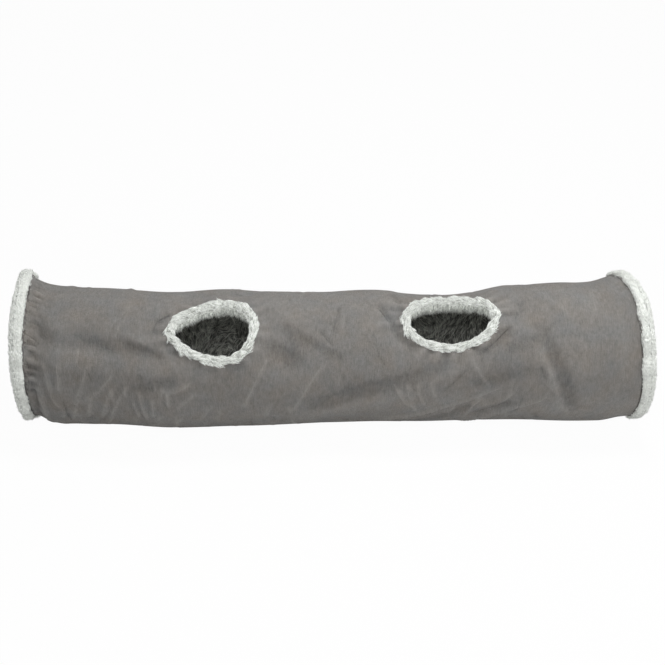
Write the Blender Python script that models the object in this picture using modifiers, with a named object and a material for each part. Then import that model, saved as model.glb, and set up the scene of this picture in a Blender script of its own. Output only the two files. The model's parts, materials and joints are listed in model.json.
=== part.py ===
"""Cat tunnel: a suede-look fabric tube held open by a helical spring wire, with a plush lining,
plush bindings round both ends and round two windows.

Metres, +Z up. +X runs along the tunnel, the windows look up and to the front (-Y), and the origin is
the bottom centre of the box round the tunnel. Run with: blender --background --python part.py
"""

import math

import bmesh
import bpy
from mathutils import Matrix, Vector

# Driving sizes of the tunnel
HOOP_SPACING = 1.2650
END_FABRIC_RADIUS = 0.1490
BODY_RADIUS = 0.1385
FLAT_CUT = 0.0005

# Layers of the wall, from the outside in
COVER_THICKNESS = 0.0015
CORE_GAP = 0.0058
LINING_THICKNESS = 0.0030
WALL_THICKNESS = COVER_THICKNESS + CORE_GAP + LINING_THICKNESS
SEAM_CLEARANCE = 0.0003
BAY_CLEARANCE = 0.0008

# Wires, sleeves and casing
HOOP_WIRE_RADIUS = 0.0015
SPRING_WIRE_RADIUS = 0.00125
SLEEVE_WALL = 0.0005
SLEEVE_CLEARANCE = 0.0002
SLEEVE_LENGTH = 0.0160
CASING_THICKNESS = 0.0004
CASING_HALF_WIDTH = 0.0080
CASING_EDGE_DEPTH = 0.0031
CASING_CLEARANCE = 0.0004

# End bindings: a plush U round the edge of the fabric
BINDING_WIDTH = 0.0280
BINDING_LEG = 0.0060
BINDING_FOLD = 0.0060
BINDING_CLEARANCE = 0.0005
BINDING_MOUTH = 0.0025
END_LEAN = math.radians(5.0)

# Windows, measured along the cover, and their bindings
WINDOW_LEG = 0.0030
WINDOW_ROLL_INWARD = 0.0070
WINDOW_ROLL_OUTWARD = 0.0130
CUTTER_OVERRUN = 0.0300
MERGE_DISTANCE = 0.0001

# How the fabric lies: it bows to the front, most left of the middle, and sags between the turns of the wire
BOW_DEPTH = 0.0347
END_RUN = 0.0600
WIRE_SAG = 0.0060
FOLD_DEPTH = 0.0060
FOLD_WIDTH = 0.0220

# Counts and the shares of the spacing where the cover's bays meet
AROUND = 28
STEPS_PER_BAY = 6
BAY_SHARES = (0.200, 0.4055, 0.579, 0.7775)
STEP_ANGLE = 2 * math.pi / AROUND
LEAD_IN_TURNS = 0.35
WIRE_START_STEP = 9
WIRE_STEPS = 136

# The radius of the body along the tunnel, as shares of the spacing and of BODY_RADIUS
WIDE_GIRTH_SHARE = 1.043
GIRTH_SHARES = ((0.00, 1.040), (0.05, 1.043), (0.148, 1.028), (0.295, WIDE_GIRTH_SHARE), (0.413, 1.016),
                (0.512, 1.006), (0.59, 0.998), (0.689, 0.988), (0.787, 1.018), (0.886, 1.065), (1.00, 1.077))

# How far the middle of the section is in front of the rings' axis, as shares of the spacing and of BOW_DEPTH
BOW_SHARES = ((0.00, 0.30), (0.05, 0.63), (0.118, 0.76), (0.246, 1.00), (0.354, 0.93), (0.472, 0.61),
              (0.59, 0.53), (0.728, 0.35), (0.866, 0.31), (1.00, 0.27))

# Main folds: start and end as (share of the spacing, angle), then width and height as shares of the
# named fold sizes. An angle is counted up from the front, so 90 degrees is the top.
FOLD_SHARES = (
    ((0.03, 44), (0.25, 38), 0.8, -1.0),
    ((0.03, 60), (0.24, 56), 0.9, 0.5),
    ((0.03, 26), (0.25, 20), 0.9, 0.5),
    ((0.44, -22), (0.77, 34), 1.3, 0.9),
    ((0.49, -46), (0.79, -2), 1.3, -0.9),
    ((0.78, 74), (0.85, 56), 1.6, -0.7),
    ((0.55, 88), (0.61, 38), 1.0, -0.7),
    ((0.39, 70), (0.43, 30), 1.0, -0.6),
    ((0.27, 100), (0.36, 108), 1.4, -1.2),
    ((0.62, 118), (0.73, 120), 1.4, -1.3),
)

# The windows: centre, half length and half height along the cover, how far the top leans right, and how
# much taller the right half is than the left
WINDOWS = {
    "left": {"centre_share": 0.310, "angle": 59.0, "half_length": 0.0810, "half_height": 0.0610,
             "lean": 0.0040, "egg_share": 0.27},
    "right": {"centre_share": 0.6845, "angle": 68.0, "half_length": 0.0890, "half_height": 0.0630,
              "lean": 0.0050, "egg_share": 0.02},
}
WINDOW_POINTS = 28
ROLL_POINTS = 10

SUEDE = (0.235, 0.220, 0.205)
DARK_PLUSH = (0.035, 0.036, 0.032)
WHITE_PLUSH = (0.640, 0.650, 0.610)
STEEL = (0.550, 0.560, 0.570)
TAPE = (0.060, 0.060, 0.058)

HALF_SPACING = HOOP_SPACING / 2
FABRIC_END = HALF_SPACING + HOOP_WIRE_RADIUS + SEAM_CLEARANCE
SLOT_END = FABRIC_END + BINDING_CLEARANCE
OUTER_FACE = SLOT_END + BINDING_FOLD
SLOT_EDGE = OUTER_FACE - BINDING_WIDTH
FABRIC_BEND = SLOT_EDGE - BINDING_MOUTH
CORE_DEPTH = COVER_THICKNESS + CORE_GAP / 2
BINDING_RADIUS = END_FABRIC_RADIUS + BINDING_CLEARANCE + BINDING_LEG
BORE_RADIUS = END_FABRIC_RADIUS - WALL_THICKNESS - BINDING_CLEARANCE - BINDING_LEG
RING_SETBACK = (BODY_RADIUS * WIDE_GIRTH_SHARE + BOW_DEPTH - BINDING_RADIUS) / 2
SPRING_OFFSET = HOOP_WIRE_RADIUS + SPRING_WIRE_RADIUS + SLEEVE_CLEARANCE
SPRING_START = -HALF_SPACING + SPRING_OFFSET
SPRING_PITCH = 2 * abs(SPRING_START) / (WIRE_STEPS / AROUND - LEAD_IN_TURNS)


def smooth(value):
    """Eases from 0 to 1."""
    value = min(max(value, 0.0), 1.0)
    return value * value * (3 - 2 * value)


def between(table, place):
    """Reads a table of (place, value) with an eased step from each row to the next."""
    for (start, low), (end, high) in zip(table, table[1:]):
        if place <= end:
            return low + (high - low) * smooth((place - start) / (end - start))
    return table[-1][1]


def share_along(x):
    return (x + HALF_SPACING) / HOOP_SPACING


def step_angle(step):
    """Angle of a grid line. Half a step of offset puts one flat facet at the bottom."""
    return -math.pi / 2 + STEP_ANGLE * (step + 0.5)


def binding_profile():
    """The plush U's section, as (along the axis from the outer face, radius) before the lean."""
    outer, inner = BINDING_RADIUS, BORE_RADIUS
    slot_outer = END_FABRIC_RADIUS + BINDING_CLEARANCE
    slot_inner = END_FABRIC_RADIUS - WALL_THICKNESS - BINDING_CLEARANCE
    fold = BINDING_FOLD
    soft = BINDING_LEG / 2
    return [
        (0, (outer + inner) / 2), (soft / 2, outer - fold), (fold / 2, outer - soft / 2), (fold * 1.5, outer),
        (BINDING_WIDTH - fold, outer - soft / 4), (BINDING_WIDTH, slot_outer + soft),
        (BINDING_WIDTH, slot_outer), (fold, slot_outer), (fold, slot_inner), (BINDING_WIDTH, slot_inner),
        (BINDING_WIDTH, slot_inner - soft), (BINDING_WIDTH - fold, inner + soft / 4), (fold * 1.5, inner),
        (fold / 2, inner + soft / 2), (soft / 2, inner + fold),
    ]


def ring_extents(lean):
    """How far a leaning binding reaches below the hoop's centre, and outwards along the tunnel."""
    facet = math.cos(STEP_ANGLE / 2)
    places = [(OUTER_FACE - HALF_SPACING - along, radius * facet) for along, radius in binding_profile()]
    below = max(radius * math.cos(lean) - along * math.sin(lean) for along, radius in places)
    outwards = max(along * math.cos(lean) + radius * math.sin(lean) for along, radius in places)
    return below, outwards


RING_HEIGHTS = {"left": ring_extents(0.0)[0], "right": ring_extents(END_LEAN)[0]}
LEAN_REACH = ring_extents(END_LEAN)[1] - ring_extents(0.0)[1]


def body_radius(x):
    """Radius of the cover over the wire, before the sag and the folds."""
    ends = smooth((abs(x) - (FABRIC_BEND - END_RUN)) / END_RUN)
    return BODY_RADIUS * between(GIRTH_SHARES, share_along(x)) * (1 - ends) + END_FABRIC_RADIUS * ends


def centre(x):
    """Centre of the section at x: on the ring's axis in the bindings, and eased to the body between."""
    side = "right" if x > 0 else "left"
    lean = END_LEAN if x > 0 else 0.0
    past_edge = smooth((abs(x) - (FABRIC_BEND - END_RUN)) / END_RUN)
    on_axis = Vector((x, RING_SETBACK, RING_HEIGHTS[side] + (x - HALF_SPACING) * math.tan(lean)))
    lowest = body_radius(x) * math.cos(STEP_ANGLE / 2) - FLAT_CUT
    bow = BOW_DEPTH * between(BOW_SHARES, share_along(x))
    on_body = Vector((x, RING_SETBACK - bow, lowest))
    return on_body.lerp(on_axis, past_edge)


def lean_at(x):
    return END_LEAN * smooth((x - (FABRIC_BEND - END_RUN)) / END_RUN)


def wire_turns(x):
    """Turns that the spring has made at x, counted from its start on the left hoop."""
    return (x - SPRING_START) / SPRING_PITCH + LEAD_IN_TURNS / 2


def fold_height(x, angle):
    """Sum of the main folds at a point of the cover."""
    total = 0.0
    for (start_share, start_angle), (end_share, end_angle), width_share, height_share in FOLD_SHARES:
        start = Vector(((start_share - 0.5) * HOOP_SPACING, math.radians(start_angle) * BODY_RADIUS))
        end = Vector(((end_share - 0.5) * HOOP_SPACING, math.radians(end_angle) * BODY_RADIUS))
        run = end - start
        offset = Vector((x, angle * BODY_RADIUS)) - start
        along = offset.dot(run) / run.length_squared
        across = (offset - run * min(max(along, 0.0), 1.0)).length / (FOLD_WIDTH * width_share)
        total += FOLD_DEPTH * height_share * math.exp(-across * across)
    return total


def cover_radius(x, angle):
    """Radius of the cover's outer face. Sag and folds fade out at the bindings and along the floor."""
    angle = (angle + math.pi / 2) % (2 * math.pi) - math.pi / 2
    clear = 1 - smooth((abs(x) - (FABRIC_BEND - END_RUN / 2)) / (END_RUN / 2))
    lifted = smooth((math.sin(angle) + 1) / 0.5)
    turns = wire_turns(x) + (angle - step_angle(WIRE_START_STEP)) / (2 * math.pi)
    sag = WIRE_SAG * (1 - math.cos(2 * math.pi * turns)) / 2
    return body_radius(x) + clear * lifted * (fold_height(x, angle) - sag)


def section_point(x, angle, depth):
    """A point of the wall, depth below the cover's outer face, never closer to the floor than its depth."""
    outward = Vector((0.0, -math.cos(angle), math.sin(angle)))
    turned = Matrix.Rotation(-lean_at(x), 3, "Y") @ outward
    point = centre(x) + turned * (cover_radius(x, angle) - depth)
    point.z = max(point.z, depth)
    return point


def bay_limits():
    """Ends of the five bays, a clearance apart."""
    cuts = [(share - 0.5) * HOOP_SPACING for share in BAY_SHARES]
    starts = [-FABRIC_END] + [cut + BAY_CLEARANCE / 2 for cut in cuts]
    ends = [cut - BAY_CLEARANCE / 2 for cut in cuts] + [FABRIC_END]
    return list(zip(starts, ends))


def bay_stations(bay):
    """Places along the tunnel where a bay's grid has a row. The outer bays have one at the binding's edge."""
    start, end = bay_limits()[bay]
    if bay == 0:
        rest = STEPS_PER_BAY - 1
        return [start] + [-FABRIC_BEND + (end + FABRIC_BEND) * row / rest for row in range(rest + 1)]
    if bay == len(BAY_SHARES):
        rest = STEPS_PER_BAY - 1
        return [start + (FABRIC_BEND - start) * row / rest for row in range(rest + 1)] + [end]
    return [start + (end - start) * row / STEPS_PER_BAY for row in range(STEPS_PER_BAY + 1)]


ALL_STATIONS = [x for bay in range(len(BAY_SHARES) + 1) for x in bay_stations(bay)]


def wall_point(x, step, depth):
    """A point inside the wall on a grid line, read off the faceted cover."""
    angle = step_angle(step)
    for low, high in zip(ALL_STATIONS, ALL_STATIONS[1:]):
        if x <= high:
            share = max(x - low, 0.0) / (high - low)
            return section_point(low, angle, depth).lerp(section_point(high, angle, depth), share)
    return section_point(ALL_STATIONS[-1], angle, depth)


def wall_point_between(x, angle, depth):
    """The same between two grid lines."""
    place = (angle + math.pi / 2) / STEP_ANGLE - 0.5
    step = math.floor(place)
    return wall_point(x, step, depth).lerp(wall_point(x, step + 1, depth), place - step)


# Scene and materials

def clear_scene():
    for obj in list(bpy.data.objects):
        bpy.data.objects.remove(obj, do_unlink=True)
    for collection in list(bpy.data.collections):
        bpy.data.collections.remove(collection)


def new_collection(name, hidden=False):
    collection = bpy.data.collections.new(name)
    bpy.context.scene.collection.children.link(collection)
    collection.hide_render = hidden
    return collection


def make_material(name, colour, roughness, metallic=0.0):
    material = bpy.data.materials.new(name)
    material.use_nodes = True
    shader = material.node_tree.nodes["Principled BSDF"]
    shader.inputs["Base Color"].default_value = (*colour, 1.0)
    shader.inputs["Roughness"].default_value = roughness
    shader.inputs["Metallic"].default_value = metallic
    material.diffuse_color = (*colour, 1.0)
    return material


def add_object(name, data, material=None, collection=None):
    obj = bpy.data.objects.new(name, data)
    (collection or PARTS).objects.link(obj)
    obj.parent = TUNNEL
    if material:
        data.materials.append(material)
    return obj


def as_cutter(obj):
    obj.hide_render = True
    obj.display_type = "WIRE"
    return obj


def mesh_from(name, points, faces):
    mesh = bpy.data.meshes.new(name)
    bm = bmesh.new()
    verts = [bm.verts.new(point) for point in points]
    for face in faces:
        bm.faces.new([verts[index] for index in face])
    bmesh.ops.recalc_face_normals(bm, faces=bm.faces)
    bm.to_mesh(mesh)
    bm.free()
    return mesh


def loft_faces(rows, columns, closed_rows=False):
    """Quads between closed rings of points, each ring joined to the next."""
    faces = []
    for row in range(rows if closed_rows else rows - 1):
        above = (row + 1) % rows
        for column in range(columns):
            beside = (column + 1) % columns
            faces.append((row * columns + column, above * columns + column,
                          above * columns + beside, row * columns + beside))
    return faces


def split_faces(faces):
    """Cuts each quad along the same diagonal, so that the layers of the wall have parallel facets."""
    return [triangle for a, b, c, d in faces for triangle in ((a, b, c), (a, c, d))]


def end_caps(rows, columns):
    first = list(range(columns))
    last = [(rows - 1) * columns + column for column in range(columns)]
    return [first, last]


# Cover and lining

def sleeve(name, bay, depth, thickness, material, collection=None):
    """One bay of a fabric layer: an open tube on the grid, thickened inwards."""
    stations = bay_stations(bay)
    points = [section_point(x, step_angle(step), depth) for x in stations for step in range(AROUND)]
    mesh = bpy.data.meshes.new(name)
    mesh.from_pydata(points, [], split_faces(loft_faces(len(stations), AROUND)))
    obj = add_object(name, mesh, material, collection)
    shell = obj.modifiers.new("Thickness", "SOLIDIFY")
    shell.thickness = thickness
    shell.offset = -1
    shell.use_even_offset = True
    mesh.shade_smooth()
    return obj


def window_outline(window, inset=0.0):
    """The window's edge as (x, angle) round the cover: an egg on its side whose top leans to the right."""
    middle = (window["centre_share"] - 0.5) * HOOP_SPACING
    outline = []
    for point in range(WINDOW_POINTS):
        turn = 2 * math.pi * point / WINDOW_POINTS
        along = (window["half_length"] - inset) * math.cos(turn)
        up = (window["half_height"] - inset) * math.sin(turn) * (1 + window["egg_share"] * math.cos(turn))
        along += window["lean"] * up / window["half_height"]
        outline.append((middle + along, math.radians(window["angle"]) + up / BODY_RADIUS))
    return outline


def window_cutter(name, window, inset=0.0):
    """A fan-shaped plug through the wall, square to the cover all round the window."""
    outline = window_outline(window, inset)
    points = []
    for depth in (-CUTTER_OVERRUN, WALL_THICKNESS + CUTTER_OVERRUN):
        points += [wall_point_between(x, angle, depth) for x, angle in outline]
    faces = split_faces(loft_faces(2, WINDOW_POINTS)) + end_caps(2, WINDOW_POINTS)
    return as_cutter(add_object(name, mesh_from(name, points, faces), collection=CUTTERS))


def cut(obj, cutter):
    boolean = obj.modifiers.new("Cut " + cutter.name, "BOOLEAN")
    boolean.operation = "DIFFERENCE"
    boolean.solver = "EXACT"
    boolean.object = cutter


def make_fabric():
    """Five bays of cover and lining. Bays 2 and 4 have the windows."""
    for bay in range(len(BAY_SHARES) + 1):
        cover = sleeve(f"cover_bay_{bay + 1}", bay, 0.0, COVER_THICKNESS, SUEDE_MATERIAL)
        lining = sleeve(f"lining_bay_{bay + 1}", bay, COVER_THICKNESS + CORE_GAP, LINING_THICKNESS,
                        LINING_MATERIAL)
        side = {1: "left", 3: "right"}.get(bay)
        if side:
            cutter = window_cutter(f"window_cutter_{side}", WINDOWS[side])
            cut(cover, cutter)
            cut(lining, cutter)


# Window bindings

def make_window_binding(side, bay):
    """A soft roll along the window's edge, less the wall that it is folded over."""
    outline = window_outline(WINDOWS[side])
    middle_depth = WALL_THICKNESS / 2
    edge = [wall_point_between(x, angle, middle_depth) for x, angle in outline]
    half_height = WALL_THICKNESS / 2 + SEAM_CLEARANCE + WINDOW_LEG
    half_width = (WINDOW_ROLL_INWARD + WINDOW_ROLL_OUTWARD) / 2
    points = []
    for index, (x, angle) in enumerate(outline):
        tangent = (edge[(index + 1) % WINDOW_POINTS] - edge[index - 1]).normalized()
        outward = (wall_point_between(x, angle, 0.0) - edge[index]).normalized()
        away = tangent.cross(outward).normalized()
        middle = edge[index] + away * (half_width - WINDOW_ROLL_INWARD)
        for corner in range(ROLL_POINTS):
            turn = 2 * math.pi * (corner + 0.5) / ROLL_POINTS
            points.append(middle + away * half_width * math.cos(turn) + outward * half_height * math.sin(turn))
    name = f"window_binding_{side}"
    mesh = mesh_from(name, points, loft_faces(WINDOW_POINTS, ROLL_POINTS, closed_rows=True))
    obj = add_object(name, mesh, BINDING_MATERIAL)
    slab = sleeve(f"wall_cutter_{side}", bay, -SEAM_CLEARANCE, WALL_THICKNESS + 2 * SEAM_CLEARANCE, None,
                  CUTTERS)
    cut(slab, window_cutter(f"edge_cutter_{side}", WINDOWS[side], SEAM_CLEARANCE))
    cut(obj, as_cutter(slab))


# End rings

def ring_empty(side):
    """The frame of an end ring: its origin is the hoop's centre, its X the ring's axis pointing outwards."""
    empty = add_object(f"ring_frame_{side}", None)
    x = HALF_SPACING if side == "right" else -HALF_SPACING
    empty.location = centre(x)
    empty.rotation_euler.y = -lean_at(x)
    return empty


def make_end_binding(side, frame):
    """The U section turned round the ring's axis. The left one is the right one's mirror image."""
    sign = 1 if side == "right" else -1
    name = f"end_binding_{side}"
    profile = binding_profile()
    start = step_angle(0)
    mesh = bpy.data.meshes.new(name)
    points = [(sign * (OUTER_FACE - HALF_SPACING - along), -math.cos(start) * radius, math.sin(start) * radius)
              for along, radius in profile]
    edges = [(index, (index + 1) % len(profile)) for index in range(len(profile))]
    mesh.from_pydata(points, edges, [])
    obj = add_object(name, mesh, BINDING_MATERIAL)
    obj.parent = frame
    turn = obj.modifiers.new("Turn", "SCREW")
    turn.axis = "X"
    turn.angle = 2 * math.pi
    turn.steps = AROUND
    turn.render_steps = AROUND
    turn.use_merge_vertices = True
    turn.merge_threshold = MERGE_DISTANCE
    turn.use_normal_calculate = True
    turn.use_smooth_shade = True
    return obj


def poly_curve(name, points, radius, resolution, closed, material):
    curve = bpy.data.curves.new(name, "CURVE")
    curve.dimensions = "3D"
    curve.bevel_depth = radius
    curve.bevel_resolution = resolution
    curve.use_fill_caps = not closed
    spline = curve.splines.new("POLY")
    spline.points.add(len(points) - 1)
    for point, place in zip(spline.points, points):
        point.co = (*place, 1.0)
    spline.use_cyclic_u = closed
    return add_object(name, curve, material)


def hoop_radius():
    return END_FABRIC_RADIUS - CORE_DEPTH


def make_hoop(side, frame):
    radius = hoop_radius()
    points = [Vector((0.0, -math.cos(step_angle(step)), math.sin(step_angle(step)))) * radius
              for step in range(AROUND)]
    hoop = poly_curve(f"end_hoop_{side}", points, HOOP_WIRE_RADIUS, 1, True, STEEL_MATERIAL)
    hoop.parent = frame
    return hoop


def make_sleeve(name, frame, step, reach):
    """A crimped sleeve on one straight facet of a hoop. Its bore is long enough for wires reach apart."""
    bore = HOOP_WIRE_RADIUS + SLEEVE_CLEARANCE
    outline = bpy.data.curves.new(name, "CURVE")
    outline.dimensions = "2D"
    outline.fill_mode = "BOTH"
    outline.extrude = SLEEVE_LENGTH / 2
    half_circle = 6
    for radius in (bore + SLEEVE_WALL, bore):
        spline = outline.splines.new("POLY")
        spline.points.add(2 * half_circle + 1)
        for index in range(2 * half_circle + 2):
            far_side = index > half_circle
            turn = math.pi * (index - far_side) / half_circle
            place = (radius * math.sin(turn) + (0.0 if far_side else reach), -radius * math.cos(turn), 0.0)
            spline.points[index].co = (*place, 1.0)
        spline.use_cyclic_u = True
    obj = add_object(name, outline, STEEL_MATERIAL)
    angle = step_angle(step) + STEP_ANGLE / 2
    outward = Vector((0.0, -math.cos(angle), math.sin(angle)))
    tangent = Vector((0.0, math.sin(angle), math.cos(angle)))
    inward = Vector((1.0 if name.endswith("left") else -1.0, 0.0, 0.0))
    place = outward * hoop_radius() * math.cos(STEP_ANGLE / 2)
    side_axis = tangent.cross(inward)
    obj.matrix_local = Matrix.Translation(place) @ Matrix((inward, side_axis, tangent)).transposed().to_4x4()
    obj.parent = frame
    return obj


# Spring wire and its casing

def spring_place(step):
    """Place along the tunnel of a wire point: the slope eases in and out over the lead-in turns."""
    turns = WIRE_STEPS / AROUND
    lead = LEAD_IN_TURNS
    turn = step / AROUND
    gone = turn - lead / 2
    if turn < lead:
        gone = turn * turn / (2 * lead)
    elif turn > turns - lead:
        gone = turns - lead - (turns - turn) ** 2 / (2 * lead)
    return SPRING_START + SPRING_PITCH * gone


def spring_points(depth, along=0.0):
    """Points of the helix on the grid lines. It turns from the top to the front as it runs to the right."""
    return [wall_point(spring_place(step) + along, WIRE_START_STEP - step, depth)
            for step in range(WIRE_STEPS + 1)]


def make_spring():
    points = spring_points(CORE_DEPTH)
    obj = poly_curve("spring_wire", points, SPRING_WIRE_RADIUS, 1, False, STEEL_MATERIAL)
    gap = min((points[first] - points[second]).length for first in range(len(points))
              for second in range(first + AROUND // 2, len(points)))
    print(f"spring wire: least gap to itself {gap - 2 * SPRING_WIRE_RADIUS:.4f} m")
    return obj


def make_casing():
    """A strip of tape that dips under the wire, its long edges sewn to the inside of the cover."""
    under = CORE_DEPTH + SPRING_WIRE_RADIUS + CASING_CLEARANCE
    near_edge = CASING_EDGE_DEPTH
    section = [
        (-CASING_HALF_WIDTH, near_edge), (0.0, under), (CASING_HALF_WIDTH, near_edge),
        (CASING_HALF_WIDTH, near_edge + CASING_THICKNESS), (0.0, under + CASING_THICKNESS),
        (-CASING_HALF_WIDTH, near_edge + CASING_THICKNESS),
    ]
    first = round(AROUND * LEAD_IN_TURNS)
    last = WIRE_STEPS - first
    points = [wall_point(spring_place(step) + along, WIRE_START_STEP - step, depth)
              for step in range(first, last + 1) for along, depth in section]
    rows = last - first + 1
    faces = loft_faces(rows, len(section)) + end_caps(rows, len(section))
    return add_object("wire_casing", mesh_from("wire_casing", points, faces), TAPE_MATERIAL)


clear_scene()
PARTS = new_collection("cat_tunnel")
CUTTERS = new_collection("cutters", hidden=True)
TUNNEL = bpy.data.objects.new("tunnel_frame", None)
PARTS.objects.link(TUNNEL)
TUNNEL.location.x = -LEAN_REACH / 2
SUEDE_MATERIAL = make_material("suede", SUEDE, 0.9)
LINING_MATERIAL = make_material("dark_plush", DARK_PLUSH, 1.0)
BINDING_MATERIAL = make_material("white_plush", WHITE_PLUSH, 1.0)
STEEL_MATERIAL = make_material("spring_steel", STEEL, 0.35, 1.0)
TAPE_MATERIAL = make_material("casing_tape", TAPE, 0.85)

make_fabric()
make_window_binding("left", 1)
make_window_binding("right", 3)
make_spring()
make_casing()
for ring_side in ("left", "right"):
    ring = ring_empty(ring_side)
    make_end_binding(ring_side, ring)
    make_hoop(ring_side, ring)
    last_step = WIRE_START_STEP - WIRE_STEPS
    clamp_step = WIRE_START_STEP - 1 if ring_side == "left" else last_step
    make_sleeve(f"spring_clamp_{ring_side}", ring, clamp_step, SPRING_OFFSET)
    make_sleeve(f"hoop_ferrule_{ring_side}", ring, clamp_step + AROUND // 2, 0.0)
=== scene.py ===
import json
import math

import bpy
import numpy as np
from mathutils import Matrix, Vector


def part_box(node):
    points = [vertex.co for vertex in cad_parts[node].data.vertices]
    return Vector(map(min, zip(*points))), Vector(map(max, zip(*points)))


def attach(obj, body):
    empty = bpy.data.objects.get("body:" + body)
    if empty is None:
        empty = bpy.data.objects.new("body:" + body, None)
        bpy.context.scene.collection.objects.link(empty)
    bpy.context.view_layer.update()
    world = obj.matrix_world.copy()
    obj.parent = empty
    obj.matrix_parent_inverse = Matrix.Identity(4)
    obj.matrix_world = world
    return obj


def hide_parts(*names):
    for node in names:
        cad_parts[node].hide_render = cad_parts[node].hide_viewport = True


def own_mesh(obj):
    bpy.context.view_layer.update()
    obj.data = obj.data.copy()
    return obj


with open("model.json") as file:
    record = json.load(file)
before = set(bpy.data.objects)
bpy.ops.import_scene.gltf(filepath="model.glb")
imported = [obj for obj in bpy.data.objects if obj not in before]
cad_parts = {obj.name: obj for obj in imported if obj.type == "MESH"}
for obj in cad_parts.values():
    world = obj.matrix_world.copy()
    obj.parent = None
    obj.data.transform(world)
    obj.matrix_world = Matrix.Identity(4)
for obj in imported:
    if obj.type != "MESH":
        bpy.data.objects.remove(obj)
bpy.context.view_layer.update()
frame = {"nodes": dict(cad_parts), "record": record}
print("scene: frame loaded")


# The tunnel's own shape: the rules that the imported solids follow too, on a finer grid
tunnel = {
    "bodyRadius": 0.1385,
    "endRadius": 0.1490,
    "bindingRadius": 0.1555,
    "coverThickness": 0.0015,
    "coreGap": 0.0058,
    "liningThickness": 0.0030,
    "bandWidth": 0.0280,
    "bandFold": 0.0060,
    "bandLeg": 0.0060,
    "bandMouth": 0.0025,
    "slotGap": 0.0005,
    "hoopGap": 0.0018,            # from the hoop's plane to the cloth's cut end
    "facets": 28,
    "flatCut": 0.0005,
    "flatRun": 0.5,               # the flat underside ends where the sine of the angle has grown by this much
    "endRun": 0.0600,             # over this length the cloth leaves the hoop and finds its own line
    "endLean": math.radians(5.0),  # the right hoop leans in at the top
    # places where a ring is bent to the left: side, size, middle and half width in degrees, run in the cloth
    "ringBends": (("left", 0.0180, 140.0, 60.0, 0.0700), ("left", 0.0070, -60.0, 55.0, 0.0500),
                  ("right", 0.0260, 135.0, 75.0, 0.1200), ("right", 0.0080, -55.0, 65.0, 0.0700)),
    "shutShort": 0.016,           # pressed flat, the cloth ends this far short of the leaning right ring's middle
    "bowDepth": 0.0347,
    "wireSag": 0.0060,
    "foldDepth": 0.0060,
    "foldWidth": 0.0220,
    "wireStartStep": 9,
    "wireSteps": 136,
    "leadInTurns": 0.35,
    "wireOffset": 0.00295,
    # along the tunnel: shares of bodyRadius, then of bowDepth
    "girths": ((0.00, 1.040), (0.05, 1.043), (0.148, 1.028), (0.295, 1.043), (0.413, 1.016), (0.512, 1.006),
               (0.59, 0.998), (0.689, 0.988), (0.787, 1.018), (0.886, 1.065), (1.00, 1.077)),
    "bows": ((0.00, 0.30), (0.05, 0.63), (0.118, 0.76), (0.246, 1.00), (0.354, 0.93), (0.472, 0.61), (0.59, 0.53),
             (0.728, 0.35), (0.866, 0.31), (1.00, 0.27)),
    # main folds: start, end as (share along, degrees up from the front), width and height shares
    "folds": (((0.03, 44), (0.25, 38), 0.8, -1.0), ((0.03, 60), (0.24, 56), 0.9, 0.5),
              ((0.03, 26), (0.25, 20), 0.9, 0.5), ((0.44, -22), (0.77, 34), 1.3, 0.9),
              ((0.49, -46), (0.79, -2), 1.3, -0.9), ((0.78, 74), (0.85, 56), 1.6, -0.7),
              ((0.55, 88), (0.61, 38), 1.0, -0.7), ((0.39, 70), (0.43, 30), 1.0, -0.6),
              ((0.27, 100), (0.36, 108), 1.4, -1.2), ((0.62, 118), (0.73, 120), 1.4, -1.3)),
}
windows = {
    "left": {"share": 0.310, "angle": 59.0, "halfLength": 0.0810, "halfHeight": 0.0610, "lean": 0.0040, "egg": 0.27},
    "right": {"share": 0.6845, "angle": 68.0, "halfLength": 0.0890, "halfHeight": 0.0630, "lean": 0.0050, "egg": 0.02},
}


def boxMiddle(node):
    low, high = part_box(node)
    return (Vector(low) + Vector(high)) / 2


hoopMiddle = {"left": boxMiddle("end_hoop_left"), "right": boxMiddle("end_hoop_right")}
hoopSpacing = hoopMiddle["right"].x - hoopMiddle["left"].x
halfSpacing = hoopSpacing / 2
tunnelShift = (hoopMiddle["right"].x + hoopMiddle["left"].x) / 2
stepAngle = 2 * math.pi / tunnel["facets"]
liningDepth = tunnel["coverThickness"] + tunnel["coreGap"]
wallThickness = liningDepth + tunnel["liningThickness"]
clothEnd = halfSpacing + tunnel["hoopGap"]
outerFace = clothEnd + tunnel["slotGap"] + tunnel["bandFold"]
bandEdge = outerFace - tunnel["bandWidth"]
clothBend = bandEdge - tunnel["bandMouth"]
wireStart = -halfSpacing + tunnel["wireOffset"]
wirePitch = 2 * abs(wireStart) / (tunnel["wireSteps"] / tunnel["facets"] - tunnel["leadInTurns"])
slides = frame["record"]["behaviour"]["joints"]


def ease(value):
    value = np.clip(value, 0.0, 1.0)
    return value * value * (3 - 2 * value)


def readTable(table, place):
    result = np.full(np.shape(place), float(table[-1][1]))
    for (start, low), (end, high) in reversed(list(zip(table, table[1:]))):
        result = np.where(place <= end, low + (high - low) * ease((place - start) / (end - start)), result)
    return result


# x is measured from the tunnel's middle, share runs from 0 at the left hoop to 1 at the right one
def shareAlong(x):
    return (x + halfSpacing) / hoopSpacing


def placeAlong(share):
    return (share - 0.5) * hoopSpacing


def pastBend(x):
    return ease((np.abs(x) - (clothBend - tunnel["endRun"])) / tunnel["endRun"])


def bodyRadius(x):
    ends = pastBend(x)
    return tunnel["bodyRadius"] * readTable(tunnel["girths"], shareAlong(x)) * (1 - ends) + tunnel["endRadius"] * ends


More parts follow.
